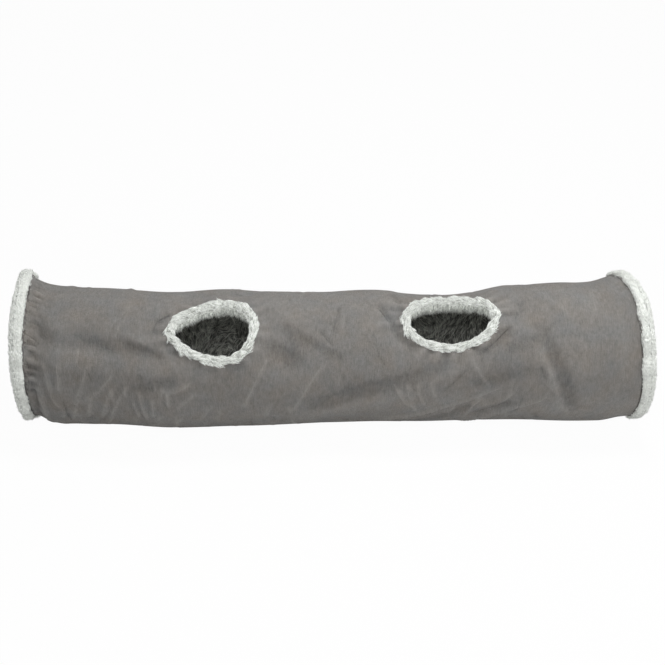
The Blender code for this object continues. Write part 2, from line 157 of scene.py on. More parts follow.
def centreLine(x):
    # depth y and height z of the section's middle
    past = pastBend(x)
    side = np.where(x > 0, 1.0, 0.0)
    ringZ = hoopMiddle["left"].z * (1 - side) + side * (
        hoopMiddle["right"].z + (x - halfSpacing) * math.tan(tunnel["endLean"]))
    y = hoopMiddle["left"].y - (1 - past) * tunnel["bowDepth"] * readTable(tunnel["bows"], shareAlong(x))
    z = (bodyRadius(x) * math.cos(stepAngle / 2) - tunnel["flatCut"]) * (1 - past) + ringZ * past
    return y, z


def wrapAngle(angle):
    return (angle + math.pi / 2) % (2 * math.pi) - math.pi / 2


def turnFrom(angle, middle):
    # the shorter way round from middle, given in degrees
    return np.mod(angle - math.radians(middle) + math.pi, 2 * math.pi) - math.pi


def segmentDistance(x, angle, start, end):
    # distance over the cloth to a line from start to end, and its sign: plus on the left of it
    radius = tunnel["bodyRadius"]
    startX, startUp = placeAlong(start[0]), math.radians(start[1]) * radius
    runX, runUp = (end[0] - start[0]) * hoopSpacing, math.radians(end[1] - start[1]) * radius
    offX, offUp = x - startX, angle * radius - startUp
    along = np.clip((offX * runX + offUp * runUp) / (runX * runX + runUp * runUp), 0.0, 1.0)
    side = np.sign(runX * offUp - runUp * offX)
    return np.hypot(offX - runX * along, offUp - runUp * along), side, along


def mainShape(x, angle):
    # sag between the turns of the wire, and the main folds
    turns = (x - wireStart) / wirePitch + tunnel["leadInTurns"] / 2
    turns = turns + (angle + math.pi / 2 - stepAngle * (tunnel["wireStartStep"] + 0.5)) / (2 * math.pi)
    total = -tunnel["wireSag"] * (1 - np.cos(2 * math.pi * turns)) / 2
    for start, end, widthShare, heightShare in tunnel["folds"]:
        across = segmentDistance(x, angle, start, end)[0] / (tunnel["foldWidth"] * widthShare)
        total = total + tunnel["foldDepth"] * heightShare * np.exp(-across * across)
    return total


def lifted(angle):
    # 0 on the flat that lies on the floor, 1 from low on the sides upwards
    return ease((np.sin(angle) + 1) / tunnel["flatRun"])


def coverRadius(x, angle, detail=None):
    angle = wrapAngle(angle)
    halfRun = tunnel["endRun"] / 2
    clear = 1 - ease((np.abs(x) - (clothBend - halfRun)) / halfRun)
    radius = bodyRadius(x) + clear * lifted(angle) * mainShape(x, angle)
    return radius if detail is None else radius + lifted(angle) * detail(x, angle)


def ringBend(x, angle):
    # how far a ring and the cloth beside it are bent to the left
    total = 0.0
    for side, size, middle, half, run in tunnel["ringBends"]:
        away = np.clip(turnFrom(angle, middle) / math.radians(half), -1.0, 1.0)
        edge = clothBend - (x if side == "right" else -x)
        total = total + size * ease(1 - edge / run) * (1 + np.cos(math.pi * away)) / 2
    return total


def clothPoint(x, angle, depth=0.0, detail=None):
    # world places of points of the wall, depth below the cover's outer face
    x, angle = np.broadcast_arrays(np.asarray(x, float), np.asarray(angle, float))
    radius = coverRadius(x, angle, detail) - depth
    lean = tunnel["endLean"] * ease((x - (clothBend - tunnel["endRun"])) / tunnel["endRun"])
    y, z = centreLine(x)
    return np.stack([
        x - np.sin(angle) * np.sin(lean) * radius - ringBend(x, angle) + tunnelShift,
        y - np.cos(angle) * radius,
        np.maximum(z + np.sin(angle) * np.cos(lean) * radius, depth),
    ], -1)


def windowPlace(window, turn):
    # a point of the window's edge as (x, angle)
    up = window["halfHeight"] * np.sin(turn) * (1 + window["egg"] * np.cos(turn))
    along = window["halfLength"] * np.cos(turn) + window["lean"] * up / window["halfHeight"]
    return placeAlong(window["share"]) + along, math.radians(window["angle"]) + up / tunnel["bodyRadius"]


def windowReach(window, x, angle):
    # 1 on the window's edge, less inside, found step by step, and the direction as shares of the half sizes
    up = (wrapAngle(angle) - math.radians(window["angle"])) * tunnel["bodyRadius"]
    across = x - placeAlong(window["share"]) - window["lean"] * up / window["halfHeight"]
    u, v = across / window["halfLength"], up / window["halfHeight"]
    reach = np.hypot(u, v) + 1e-9
    for _ in range(12):
        reach = np.hypot(u, v * reach / np.maximum(reach + window["egg"] * u, 0.05)) + 1e-9
    return reach, u, v


def onWindowEdge(window, reach, u, v):
    # where points near the window's edge land on it
    cosine = np.clip(u / reach, -1.0, 1.0)
    turn = np.where(v >= 0, np.arccos(cosine), -np.arccos(cosine))
    return windowPlace(window, turn)


# Mesh helpers

def unit(vectors):
    return vectors / np.maximum(np.linalg.norm(vectors, axis=-1, keepdims=True), 1e-9)


def addPiece(name, data, material=None):
    piece = bpy.data.objects.new(name, data)
    bpy.context.scene.collection.objects.link(piece)
    if material:
        data.materials.append(material)
    return piece


def meshFrom(name, points, faces, smooth=True):
    mesh = bpy.data.meshes.new(name)
    mesh.from_pydata([tuple(point) for point in np.asarray(points).reshape(-1, 3)], [], faces)
    mesh.validate()
    if smooth:
        mesh.shade_smooth()
    return mesh


def writeValues(mesh, **fields):
    # a named float attribute on the points for each field
    for label, values in fields.items():
        layer = mesh.attributes.new(label, "FLOAT", "POINT")
        layer.data.foreach_set("value", np.broadcast_to(values, len(mesh.vertices)).astype(np.float32))


def gridFaces(rows, columns, closedRows=False, closedColumns=True, flip=False):
    faces = []
    for row in range(rows if closedRows else rows - 1):
        above = (row + 1) % rows
        for column in range(columns if closedColumns else columns - 1):
            beside = (column + 1) % columns
            face = (row * columns + column, row * columns + beside, above * columns + beside, above * columns + column)
            faces.append(face[::-1] if flip else face)
    return faces


def addUv(mesh, values, wrap):
    # values: one (u, v) for each vertex; wrap is the width at which v starts again
    layer = mesh.uv_layers.new(name="clothMap")
    index = np.empty(len(mesh.loops), np.int32)
    mesh.loops.foreach_get("vertex_index", index)
    uv = np.asarray(values, np.float32)[index]
    starts = np.empty(len(mesh.polygons), np.int32)
    mesh.polygons.foreach_get("loop_start", starts)
    polygon = np.repeat(np.arange(len(starts)), np.diff(np.append(starts, len(index))))
    highest = np.full(len(starts), -1e9)
    np.maximum.at(highest, polygon, uv[:, 1])
    uv[:, 1] += np.where(highest[polygon] - uv[:, 1] > wrap / 2, wrap, 0.0)
    layer.data.foreach_set("uv", uv.ravel())


def applyModifiers(piece):
    # the evaluated mesh takes the place of the piece's own, and no modifier is left
    graph = bpy.context.evaluated_depsgraph_get()
    done = bpy.data.meshes.new_from_object(piece.evaluated_get(graph))
    old = piece.data
    piece.modifiers.clear()
    piece.data = done
    bpy.data.meshes.remove(old)
    return piece


def rideBay(piece, bay):
    # a piece of bay 1 to 5 rides on its body
    bodies = {1: ("left_end", "tunnel_collapse", hoopMiddle["left"].x),
              5: ("right_end", "tunnel_collapse", hoopMiddle["right"].x)}
    for joint in slides[1:]:
        number = int(joint["name"].split("_")[1])
        bodies[number] = (joint["child"], joint["name"], joint["deforming_nodes"][0]["fixed_end_x_m"])
    body, joint, anchor = bodies[bay]
    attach(piece, body)
    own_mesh(piece)


# Shader node groups, each built once

napNoise = {                      # scale, detail, roughness and stretch
    "patches": (14.0, 3.0, 0.55),
    "blotches": (62.0, 2.0, 0.5, (1.0, 0.6, 1.0)),
    "streaks": (60.0, 3.0, 0.6, (9.0, 1.0, 1.0)),
    "hairs": (260.0, 2.0, 0.6, (6.0, 1.0, 1.0)),
    "grain": (1500.0, 1.0, 0.5),
    "mottle": (130.0, 3.0, 0.75, (1.0, 0.7, 1.0)),
    "warmth": (21.0, 2.0, 0.5),
}


def newGroup(name, inputs, outputs):
    group = bpy.data.node_groups.new(name, "ShaderNodeTree")
    for label, kind, value in inputs:
        socket = group.interface.new_socket(name=label, in_out="INPUT", socket_type=kind)
        if value is not None:
            socket.default_value = value
    for label, kind in outputs:
        group.interface.new_socket(name=label, in_out="OUTPUT", socket_type=kind)
    return group, group.nodes.new("NodeGroupInput"), group.nodes.new("NodeGroupOutput")


def addNode(tree, kind, settings=None, **values):
    # a node with its settings, and its inputs by name or number (a socket makes a link)
    node = tree.nodes.new(kind)
    for key, value in (settings or {}).items():
        setattr(node, key, value)
    for key, value in values.items():
        key = int(key[1:]) if key[0] == "n" and key[1:].isdigit() else key.replace("_", " ")
        if isinstance(value, bpy.types.NodeSocket):
            tree.links.new(value, node.inputs[key])
        else:
            node.inputs[key].default_value = value
    return node


def mathNode(tree, operation, first, second=None, third=None):
    values = {f"n{index}": value for index, value in enumerate((first, second, third)) if value is not None}
    return addNode(tree, "ShaderNodeMath", {"operation": operation}, **values).outputs[0]


def noiseValue(tree, vector, scale, detail=2.0, roughness=0.5, stretch=(1, 1, 1)):
    # noise about zero, from -1 to 1
    scaled = addNode(tree, "ShaderNodeVectorMath", {"operation": "MULTIPLY"}, n0=vector, n1=stretch).outputs[0]
    noise = addNode(tree, "ShaderNodeTexNoise", Vector=scaled, Scale=scale, Detail=detail, Roughness=roughness)
    return mathNode(tree, "MULTIPLY_ADD", noise.outputs["Fac"], 2.0, -1.0)


def attributeValue(tree, name):
    return addNode(tree, "ShaderNodeAttribute", {"attribute_name": name}).outputs["Fac"]


def buildNapGroup():
    # colour and height of brushed cloth: broad patches, streaks of the nap along V, a fine grain, ridges lighter from
    # worn nap and painted highlight, and painted shade in the creases
    group, inside, out = newGroup("clothNap", [
        ("Vector", "NodeSocketVector", None), ("Colour", "NodeSocketColor", (0.5, 0.5, 0.5, 1)),
        ("Patches", "NodeSocketFloat", 0.05), ("Mottle", "NodeSocketFloat", 0.10), ("Streaks", "NodeSocketFloat", 0.06),
        ("Warmth", "NodeSocketFloat", 0.03), ("Wear", "NodeSocketFloat", 0.0), ("Lines", "NodeSocketFloat", 0.0),
    ], [("Colour", "NodeSocketColor"), ("Height", "NodeSocketFloat")])
    given = inside.outputs
    noise = {label: noiseValue(group, given["Vector"], *numbers) for label, numbers in napNoise.items()}
    side, mark = attributeValue(group, "creaseSide"), attributeValue(group, "creaseMark")
    line = mathNode(group, "EXPONENT", mathNode(group, "MULTIPLY", mathNode(group, "MULTIPLY", side, side), -1.0))
    line = mathNode(group, "MULTIPLY", line, mark)                   # a fine line on each narrow crease: painted shade in a valley, a lighter line of worn nap and painted highlight on a ridge
    light = 1.0
    # the relief and the crease line lighten ridges (worn nap and painted highlight) and darken creases with painted
    # shade
    for value, share in (
            (noise["patches"], given["Patches"]), (noise["mottle"], given["Mottle"]),
            (noise["blotches"], mathNode(group, "MULTIPLY", given["Patches"], 0.8)),
            (noise["streaks"], given["Streaks"]), (noise["hairs"], mathNode(group, "MULTIPLY", given["Streaks"], 0.7)),
            (attributeValue(group, "relief"), given["Wear"]), (line, given["Lines"])):
        light = mathNode(group, "MULTIPLY_ADD", value, share, light)
    warm = mathNode(group, "MULTIPLY", noise["warmth"], given["Warmth"])
    parts = addNode(group, "ShaderNodeSeparateColor", Color=given["Colour"])
    levels = mathNode(group, "ADD", light, warm), light, mathNode(group, "SUBTRACT", light, warm)
    red, green, blue = (mathNode(group, "MULTIPLY", parts.outputs[index], level) for index, level in enumerate(levels))
    whole = addNode(group, "ShaderNodeCombineColor", Red=red, Green=green, Blue=blue)
    group.links.new(whole.outputs[0], out.inputs["Colour"])
    height = 0.0
    for value, share in ((noise["grain"], 0.5), (noise["hairs"], 0.5), (noise["streaks"], 0.35),
                         (noise["mottle"], 0.80), (line, 0.40)):
        height = mathNode(group, "MULTIPLY_ADD", value, share, height)
    group.links.new(height, out.inputs["Height"])
    return group


def buildPileGroup():
    # colour of a strand of pile: dark at the root, pale at the tip, each lock and strand a little different
    group, inside, out = newGroup("pileTone", [
        ("Root", "NodeSocketColor", (0, 0, 0, 1)), ("Tip", "NodeSocketColor", (1, 1, 1, 1)),
        ("Variation", "NodeSocketFloat", 0.2), ("Patches", "NodeSocketFloat", 0.2),
        ("Vector", "NodeSocketVector", None), ("Patch Scale", "NodeSocketFloat", 28.0),
    ], [("Colour", "NodeSocketColor")])
    given = inside.outputs
    patches = noiseValue(group, given["Vector"], given["Patch Scale"], 2.0, 0.5)
    blend = addNode(group, "ShaderNodeMix", {"data_type": "RGBA"}, n0=attributeValue(group, "along"),
                    n6=given["Root"], n7=given["Tip"])
    tone = mathNode(group, "MULTIPLY_ADD", attributeValue(group, "tone"), 2.0, -1.0)
    change = mathNode(group, "MULTIPLY_ADD", tone, given["Variation"], 1.0)
    change = mathNode(group, "MULTIPLY_ADD", patches, given["Patches"], change)
    scaled = addNode(group, "ShaderNodeVectorMath", {"operation": "SCALE"}, n0=blend.outputs[2], Scale=change)
    group.links.new(scaled.outputs[0], out.inputs["Colour"])
    return group


napGroup = buildNapGroup()
pileGroup = buildPileGroup()


def newMaterial(name, roughness, sheen=0.0, metallic=0.0):
    material = bpy.data.materials.new(name)
    material.use_nodes = True
    tree = material.node_tree
    shader = tree.nodes["Principled BSDF"]
    specular = 0.5 if metallic else looks["clothSpecular"]
    for label, value in (("Roughness", roughness), ("Metallic", metallic), ("Sheen Weight", sheen),
                         ("Sheen Roughness", looks["sheenRoughness"]), ("Specular IOR Level", specular)):
        shader.inputs[label].default_value = value
    return material, tree, shader


def napMaterial(name, look, bump, sheen=0.0, mapped=False, **shares):
    # mapped: on the cloth's own map, or else in object space
    material, tree, shader = newMaterial(name, 0.95, sheen)
    if mapped:
        vector = addNode(tree, "ShaderNodeUVMap", {"uv_map": "clothMap"}).outputs[0]
    else:
        vector = addNode(tree, "ShaderNodeTexCoord").outputs["Object"]
    nap = addNode(tree, "ShaderNodeGroup", {"node_tree": napGroup}, Vector=vector, Colour=(*looks[look], 1), **shares)
    tree.links.new(nap.outputs["Colour"], shader.inputs["Base Color"])
    bumpNode = addNode(tree, "ShaderNodeBump", Strength=bump, Distance=looks["bumpHeight"],
                       Height=nap.outputs["Height"])
    tree.links.new(bumpNode.outputs[0], shader.inputs["Normal"])
    return material


def pileMaterial(name, look, paintedGlow, sheen=0.0, **shares):
    # the emission strength is a painted glow that stands for the light that fibres pass on to each other
    material, tree, shader = newMaterial(name, 0.9, sheen)
    vector = addNode(tree, "ShaderNodeTexCoord").outputs["Object"]
    pile = addNode(tree, "ShaderNodeGroup", {"node_tree": pileGroup}, Vector=vector, Root=(*looks[look + "Root"], 1),
                   Tip=(*looks[look + "Tip"], 1), **shares)
    tree.links.new(pile.outputs["Colour"], shader.inputs["Base Color"])
    tree.links.new(pile.outputs["Colour"], shader.inputs["Emission Color"])
    shader.inputs["Emission Strength"].default_value = paintedGlow
    return material


def steelMaterial(name, roughness):
    material, tree, shader = newMaterial(name, roughness, metallic=1.0)
    vector = addNode(tree, "ShaderNodeTexCoord").outputs["Object"]
    grain = noiseValue(tree, vector, looks["steelGrain"], 3.0, 0.6)
    level = mathNode(tree, "MULTIPLY_ADD", grain, looks["steelTone"], 1.0)
    shade = addNode(tree, "ShaderNodeVectorMath", {"operation": "SCALE"}, n0=looks["steel"], Scale=level)
    tree.links.new(shade.outputs[0], shader.inputs["Base Color"])
    rough = mathNode(tree, "MULTIPLY_ADD", grain, looks["steelRough"], roughness)
    tree.links.new(rough, shader.inputs["Roughness"])
    return material


looks = {
    "suede": (0.248, 0.237, 0.222),
    "liningBack": (0.120, 0.122, 0.112),
    # the dark pile's pale tips are lighter than its own dark grey: painted light for the shaded inside of the tunnel
    "darkRoot": (0.130, 0.133, 0.121),
    "darkTip": (0.700, 0.710, 0.650),
    "whiteBase": (0.84, 0.86, 0.82),
    "whiteRoot": (0.84, 0.86, 0.82),
    "whiteTip": (0.93, 0.95, 0.92),
    # the window rolls' base and lock roots are darker than their white plush: painted shade between the locks
    "shadedLockBase": (0.46, 0.47, 0.44),
    "lockRoot": (0.60, 0.62, 0.58),
    "lockTip": (0.95, 0.97, 0.94),
    "fringeRoot": (0.60, 0.62, 0.58),
    "fringeTip": (0.86, 0.88, 0.84),
    "thread": (0.055, 0.053, 0.050),
    "tape": (0.060, 0.060, 0.058),
    "steel": (0.55, 0.56, 0.57),
    "bumpHeight": 0.0016,
    "sheenRoughness": 0.5,
    "clothSpecular": 0.2,
    "steelGrain": 900.0,          # scale of the drawn wire's grain, and how far it moves tone and roughness
    "steelTone": 0.08,
    "steelRough": 0.12,
}
suedeMaterial = napMaterial("suedeCover", "suede", 0.80, sheen=0.15, mapped=True, Patches=0.16, Mottle=0.30,
                            Streaks=0.36, Warmth=0.08, Wear=0.20, Lines=0.15)
liningMaterial = napMaterial("darkPlushBack", "liningBack", 0.6, mapped=True, Patches=0.2, Mottle=0.2, Streaks=0.3,
                             Warmth=0.0)
plushBack = {"Patches": 0.06, "Mottle": 0.06, "Streaks": 0.10, "Warmth": 0.01}
bandMaterial = napMaterial("whitePlushBack", "whiteBase", 0.5, **plushBack)
windowBandMaterial = napMaterial("plushRollBack", "shadedLockBase", 0.5, **plushBack)
tapeMaterial = napMaterial("casingTape", "tape", 0.3, Patches=0.03, Mottle=0.05, Streaks=0.08, Warmth=0.0)
threadMaterial = napMaterial("sewingThread", "thread", 0.3, Patches=0.02, Mottle=0.02, Streaks=0.10, Warmth=0.0)
darkPileMaterial = pileMaterial("darkPlushPile", "dark", 0.080, sheen=0.1, Variation=0.45, Patches=1.00,
                                Patch_Scale=75.0)
whitePileMaterial = pileMaterial("whitePlushPile", "white", 0.15, sheen=0.7, Variation=0.08, Patches=0.20,
                                 Patch_Scale=160.0)
lockMaterial = pileMaterial("whitePlushLocks", "lock", 0.30, sheen=0.7, Variation=0.26, Patches=0.28,
                            Patch_Scale=300.0)
fringeMaterial = pileMaterial("palePlushFringe", "fringe", 0.14, Variation=0.30, Patches=0.80, Patch_Scale=330.0)
wireMaterial = steelMaterial("springSteel", 0.35)
sleeveMaterial = steelMaterial("sleeveSteel", 0.28)
print("scene: materials ready")


# Cover: one sewn tube of suede-look cloth

cover = {
    "rows": 298,
    "frontColumns": 100,          # over the side that the photograph shows
    "backColumns": 60,
    "frontFrom": -60.0,
    "frontTo": 130.0,
    "reliefShare": 2.4,           # all creases and wrinkles stand this much stronger
    "deepest": 0.0042,            # and go no deeper than this, clear of the wire
    "calmRun": 0.010,             # from the bands the relief grows to its full height over this length
    "dipDepth": 0.0125,
    "rightDipDepth": 0.0055,
    "dipHold": 0.0080,
    "dipRun": 0.0460,
    "dipFrom": 0.1,               # the dips begin at this sine of the angle and are full at the next
    "dipFull": 0.7,
    "dipRise": 0.0025,            # beyond the left dip the cloth rises a little
    "risePlace": 0.0632,
    "riseWidth": 0.0140,
    "bulgeHeight": 0.0080,        # low at the left ring the cloth bulges instead
    "bulgeStart": 0.0300,
    "bulgeHold": 0.0200,
    "bulgeRun": 0.0450,
    "bulgeAngle": -50.0,
    "bulgeSpread": 26.0,
    "reliefTop": 0.0022,
    "lineWidth": 0.0014,          # of the fine line along a narrow crease: painted shade in a valley, worn nap and painted highlight on a ridge
    "lineReach": 0.0085,
    "lineFade": 0.0020,
    "lineFull": 0.0014,           # a crease of this height has a line of full strength
    "lineLimit": 4.0,
    "narrow": 0.0076,
    "lowShare": 0.50,             # low on the front the creases stand this much higher, between these angles
    "lowFrom": -1.3,
    "lowTo": 0.45,
    "gatherDepth": 0.0022,
    "gatherRight": 0.15,          # share of it at the right ring
    "gatherRun": 0.013,
    "gatherStart": 0.006,
    "windowPucker": 0.0008,
    "puckerStart": 0.012,
    "puckerRun": 0.030,
    "wrinkleHeight": 0.0006,
    # short random lines: how many, ranges of the start's share, angle and length, middle and spread of the slant
    "wrinkles": (230, (0.03, 0.97), (-70, 235), (0.018, 0.055), (0.0, 0.55)),
    "slants": (26, (0.03, 0.27), (-44, 12), (0.018, 0.050), (0.35, 0.25)),
    "tucks": (46, (-60, 215), (0.014, 0.036)),      # from under the left band: how many, angles and lengths
    "tuckPlace": 0.013,
    "tautFrom": 0.84,             # from this share on the cloth is taut and its wrinkles lower
    "tautShare": 0.55,
    "seamAngle": 206.0,           # the lapped seam lies low at the back
    "seamWidth": 0.0090,
    "seamHeight": 0.0008,
    "seamEdge": 0.0015,
    "casingGap": 0.0004,
    "seed": 11,
    # creases: start, end as (share, degrees), width and height in metres; a pleat is raised on one side only
    "creases": (((0.0146, -75), (0.0146, 110), 0.0040, -0.0052, 0.0),      # painted shadow lines where the cloth goes into the bands; the calm edge leaves them almost no depth
                ((0.9854, -70), (0.9854, 60), 0.0040, -0.0030, 0.0),
                ((0.036, -2), (0.037, -46), 0.0042, 0.0014, 0.0), ((0.07, 28), (0.068, 5), 0.0036, 0.0010, 0.0),
                ((0.118, 28), (0.09, -8), 0.0042, 0.0011, 0.2), ((0.155, 20), (0.132, 7), 0.0036, 0.0013, 0.2),
                ((0.132, 7), (0.091, -8), 0.0036, 0.0014, 0.2), ((0.148, 5), (0.126, -26), 0.0042, 0.0014, 0.2),
                ((0.175, 10), (0.157, -4), 0.0036, 0.0014, 0.3), ((0.157, -4), (0.132, -41), 0.0042, 0.0019, 0.3),
                ((0.195, 7), (0.204, -27), 0.0042, 0.0011, 0.0), ((0.239, 7), (0.24, -6), 0.0042, 0.0010, 0.0),
                ((0.072, -7), (0.074, -32), 0.0042, -0.0010, 0.3), ((0.047, 23), (0.054, 3), 0.0042, 0.0011, 0.0),
                ((0.054, -1), (0.063, -12), 0.0036, 0.0011, 0.0), ((0.185, -2), (0.19, -22), 0.0036, 0.0010, 0.0),
                ((0.03, -6), (0.022, -50), 0.0045, -0.0010, 0.0), ((0.119, 3), (0.107, -29), 0.0036, 0.0008, 0.0),
                ((0.142, 2), (0.155, 1), 0.0040, -0.0005, 0.0), ((0.242, 74), (0.222, 66), 0.0045, -0.0022, 0.2),
                ((0.222, 66), (0.22, 57), 0.0060, -0.0010, 0.0), ((0.176, 51), (0.245, 36), 0.0110, 0.0012, 0.3),
                ((0.173, 46), (0.236, 36), 0.0120, -0.0016, 0.0), ((0.102, 52), (0.158, 41), 0.0120, -0.0010, 0.0),
                ((0.191, 9), (0.256, 16), 0.0120, -0.0012, 0.3), ((0.481, 27), (0.431, -14), 0.0036, 0.0018, 0.2),
                ((0.394, 33), (0.357, -7), 0.0040, 0.0014, 0.2), ((0.425, 60), (0.45, 49), 0.0120, -0.0014, 0.0),
                ((0.45, 49), (0.514, 33), 0.0100, -0.0012, 0.0), ((0.399, 43), (0.443, 31), 0.0150, -0.0020, 0.0),
                ((0.478, 57), (0.496, 45), 0.0040, -0.0010, 0.3), ((0.509, 84), (0.498, 55), 0.0055, -0.0010, 0.4),
                ((0.571, 81), (0.586, 66), 0.0060, -0.0022, 0.5), ((0.586, 66), (0.601, 50), 0.0085, -0.0020, 0.5),
                ((0.601, 50), (0.624, 40), 0.0090, -0.0018, 0.4), ((0.591, 104), (0.607, 76), 0.0080, -0.0016, 0.4),
                ((0.478, -11), (0.555, 2), 0.0160, -0.0026, 0.5), ((0.555, 2), (0.621, 13), 0.0150, -0.0026, 0.5),
                ((0.621, 13), (0.683, 27), 0.0150, -0.0016, 0.4), ((0.578, -45), (0.67, -19), 0.0042, 0.0026, 0.4),
                ((0.67, -19), (0.723, -8), 0.0042, 0.0022, 0.4), ((0.723, -8), (0.763, 4), 0.0050, 0.0010, 0.4),
                ((0.617, -52), (0.721, -19), 0.0085, -0.0022, 0.0), ((0.588, 17), (0.619, -14), 0.0042, 0.0011, 0.3),
                ((0.612, 14), (0.629, -23), 0.0040, 0.0010, 0.3), ((0.63, 9), (0.641, -10), 0.0038, 0.0013, 0.3),
                ((0.653, 11), (0.659, -1), 0.0036, 0.0010, 0.0), ((0.675, 4), (0.711, 24), 0.0036, -0.0008, 0.3),
                ((0.72, 26), (0.744, 7), 0.0045, 0.0008, 0.0), ((0.709, -52), (0.781, -24), 0.0042, 0.0022, 0.4),
                ((0.781, -24), (0.833, -6), 0.0042, 0.0018, 0.4), ((0.723, -31), (0.78, -14), 0.0070, -0.0018, 0.0),
                ((0.683, -29), (0.693, -17), 0.0042, 0.0014, 0.3), ((0.713, -28), (0.733, -9), 0.0042, 0.0014, 0.3),
                ((0.758, -20), (0.784, -3), 0.0040, 0.0013, 0.3), ((0.816, 54), (0.834, 33), 0.0160, -0.0016, 0.6),
                ((0.834, 33), (0.85, 13), 0.0160, -0.0020, 0.7), ((0.85, 13), (0.872, -16), 0.0150, -0.0020, 0.7),
                ((0.824, 23), (0.83, 13), 0.0036, -0.0010, 0.2), ((0.835, 22), (0.838, 13), 0.0036, 0.0011, 0.0),
                ((0.773, 38), (0.817, 46), 0.0140, -0.0012, 0.0), ((0.792, 82), (0.796, 71), 0.0070, -0.0010, 0.5),
                ((0.717, 9), (0.817, 21), 0.0140, -0.0008, 0.0), ((0.855, 76), (0.871, 63), 0.0080, 0.0005, 0.0),
                ((0.913, 92), (0.912, 66), 0.0070, 0.0005, 0.0), ((0.732, 36), (0.751, 44), 0.0055, -0.0022, 0.0),
                ((0.751, 44), (0.775, 57), 0.0060, -0.0034, 0.0)),
}


def waves(angle, seed, low, high, count):
    # a wavy line round the tube that closes on itself: whole numbers of waves, seeded
    random = np.random.default_rng(seed)
    total = np.zeros(np.shape(angle))
    for number, phase, size in zip(random.integers(low, high, count), random.uniform(0, 2 * math.pi, count),
                                   random.uniform(0.5, 1.0, count)):
        total = total + size * np.sin(number * angle + phase)
    return total / math.sqrt(count / 2)


def shortLine(random, shares, angles, runs, slopes):
    # start and end of a short line on the cloth
    share, angle = random.uniform(*shares), random.uniform(*angles)
    run, slope = random.uniform(*runs), random.normal(*slopes)
    rise = math.degrees(run * math.cos(slope) / tunnel["bodyRadius"])
    return (share, angle), (share + run * math.sin(slope) / hoopSpacing, angle + rise)


def wrinkleList():
    # short random wrinkles all over, tucks that run out from under the left band, and slanting creases low beside it
    random = np.random.default_rng(cover["seed"])
    wrinkles = []
    count, *ranges = cover["wrinkles"]
    for _ in range(count):
        start, end = shortLine(random, *ranges)
        taut = cover["tautShare"] if start[0] > cover["tautFrom"] else 1.0
        wrinkles.append((start, end, random.uniform(0.0035, 0.0075),
                         cover["wrinkleHeight"] * random.choice((-1.0, 1.0)) * random.uniform(0.4, 1.3) * taut, 0.5))
    count, angles, runs = cover["tucks"]
    for _ in range(count):
        angle, run = random.uniform(*angles), random.uniform(*runs)
        end = cover["tuckPlace"] + run / hoopSpacing, angle + random.normal(0.0, 3.0)
        start = cover["tuckPlace"], angle
        wrinkles.append((start, end, 0.0036, -random.uniform(0.0005, 0.0018), 0.3))
    count, *ranges = cover["slants"]
    for _ in range(count):
        wrinkles.append((*shortLine(random, *ranges), 0.0038, random.uniform(0.0004, 0.0013), 0.2))
    return wrinkles


allCreases = list(cover["creases"]) + wrinkleList()


def endDip(x, angle):
    # the rings' plush stands proud: from under its edge the top of the cloth drops away, then meets its own line
    edge = clothBend - np.abs(x)
    onLeft = np.asarray(x) < 0
    depth = np.where(onLeft, cover["dipDepth"], cover["rightDipDepth"])
    run = ease(edge / cover["dipHold"] + 1) * (1 - ease((edge - cover["dipHold"]) / cover["dipRun"]))
    rise = np.exp(-np.square((edge - cover["risePlace"]) / cover["riseWidth"]))
    upwards = ease((np.sin(angle) - cover["dipFrom"]) / (cover["dipFull"] - cover["dipFrom"]))
    return (cover["dipRise"] * rise * onLeft - depth * run) * upwards


def endBulge(x, angle):
    # low at the left ring; it is made up for what lifted takes away there
    edge = clothBend + x
    run = ease(edge / cover["bulgeStart"]) * (1 - ease((edge - cover["bulgeHold"]) / cover["bulgeRun"]))
    away = wrapAngle(angle) - math.radians(cover["bulgeAngle"])
    low = np.exp(-np.square(away / math.radians(cover["bulgeSpread"])))
    return cover["bulgeHeight"] * run * low / np.maximum(lifted(angle), 0.15)


def creaseRelief(x, angle):
    # creases, wrinkles and gathers that the plain solid leaves out
    total = np.zeros(np.broadcast(x, angle).shape)
    for start, end, width, height, pleat in allCreases:
        distance, side, along = segmentDistance(x, angle, start, end)
        across = distance / width
        fade = ease(np.minimum(along, 1 - along) * 5 + 0.5)
        ridge = np.exp(-across * across)
        fold = across * side * ridge * 1.6
        total = total + height * fade * ((1 - pleat) * ridge + pleat * fold)
    low = ease((cover["lowTo"] - angle) / cover["lowTo"]) * (angle > cover["lowFrom"])
    total = total * (1 + cover["lowShare"] * low)
    edge = clothBend - np.abs(x)
    for sign, size, seed in ((-1, 1.0, 5), (1, cover["gatherRight"], 6)):
        run = cover["gatherRun"] * (1 + 0.45 * waves(angle, seed + 20, 5, 14, 5))
        fade = ease(edge / cover["gatherStart"]) * np.exp(-np.square(np.maximum(edge, 0) / np.maximum(run, 0.007)))
        fade = fade * (0.6 + 0.5 * waves(angle, seed + 60, 3, 11, 5))
        gather = cover["gatherDepth"] * size * fade * waves(angle, seed, 22, 58, 9)
        total = total + np.where(np.sign(x) == sign, gather, 0.0)
    for seed, window in enumerate(windows.values()):
        reach, u, v = windowReach(window, x, angle)
        outside = (reach - 1) * window["halfHeight"]
        fade = ease(outside / cover["puckerStart"]) * np.exp(-np.square(outside / cover["puckerRun"]))
        total = total + cover["windowPucker"] * fade * waves(np.arctan2(v, u), seed + 40, 9, 26, 7)
    total = cover["reliefShare"] * total
    deep = -cover["deepest"] * np.tanh(-total / cover["deepest"])
    return ease(edge / cover["calmRun"]) * np.where(total < 0, deep, total)


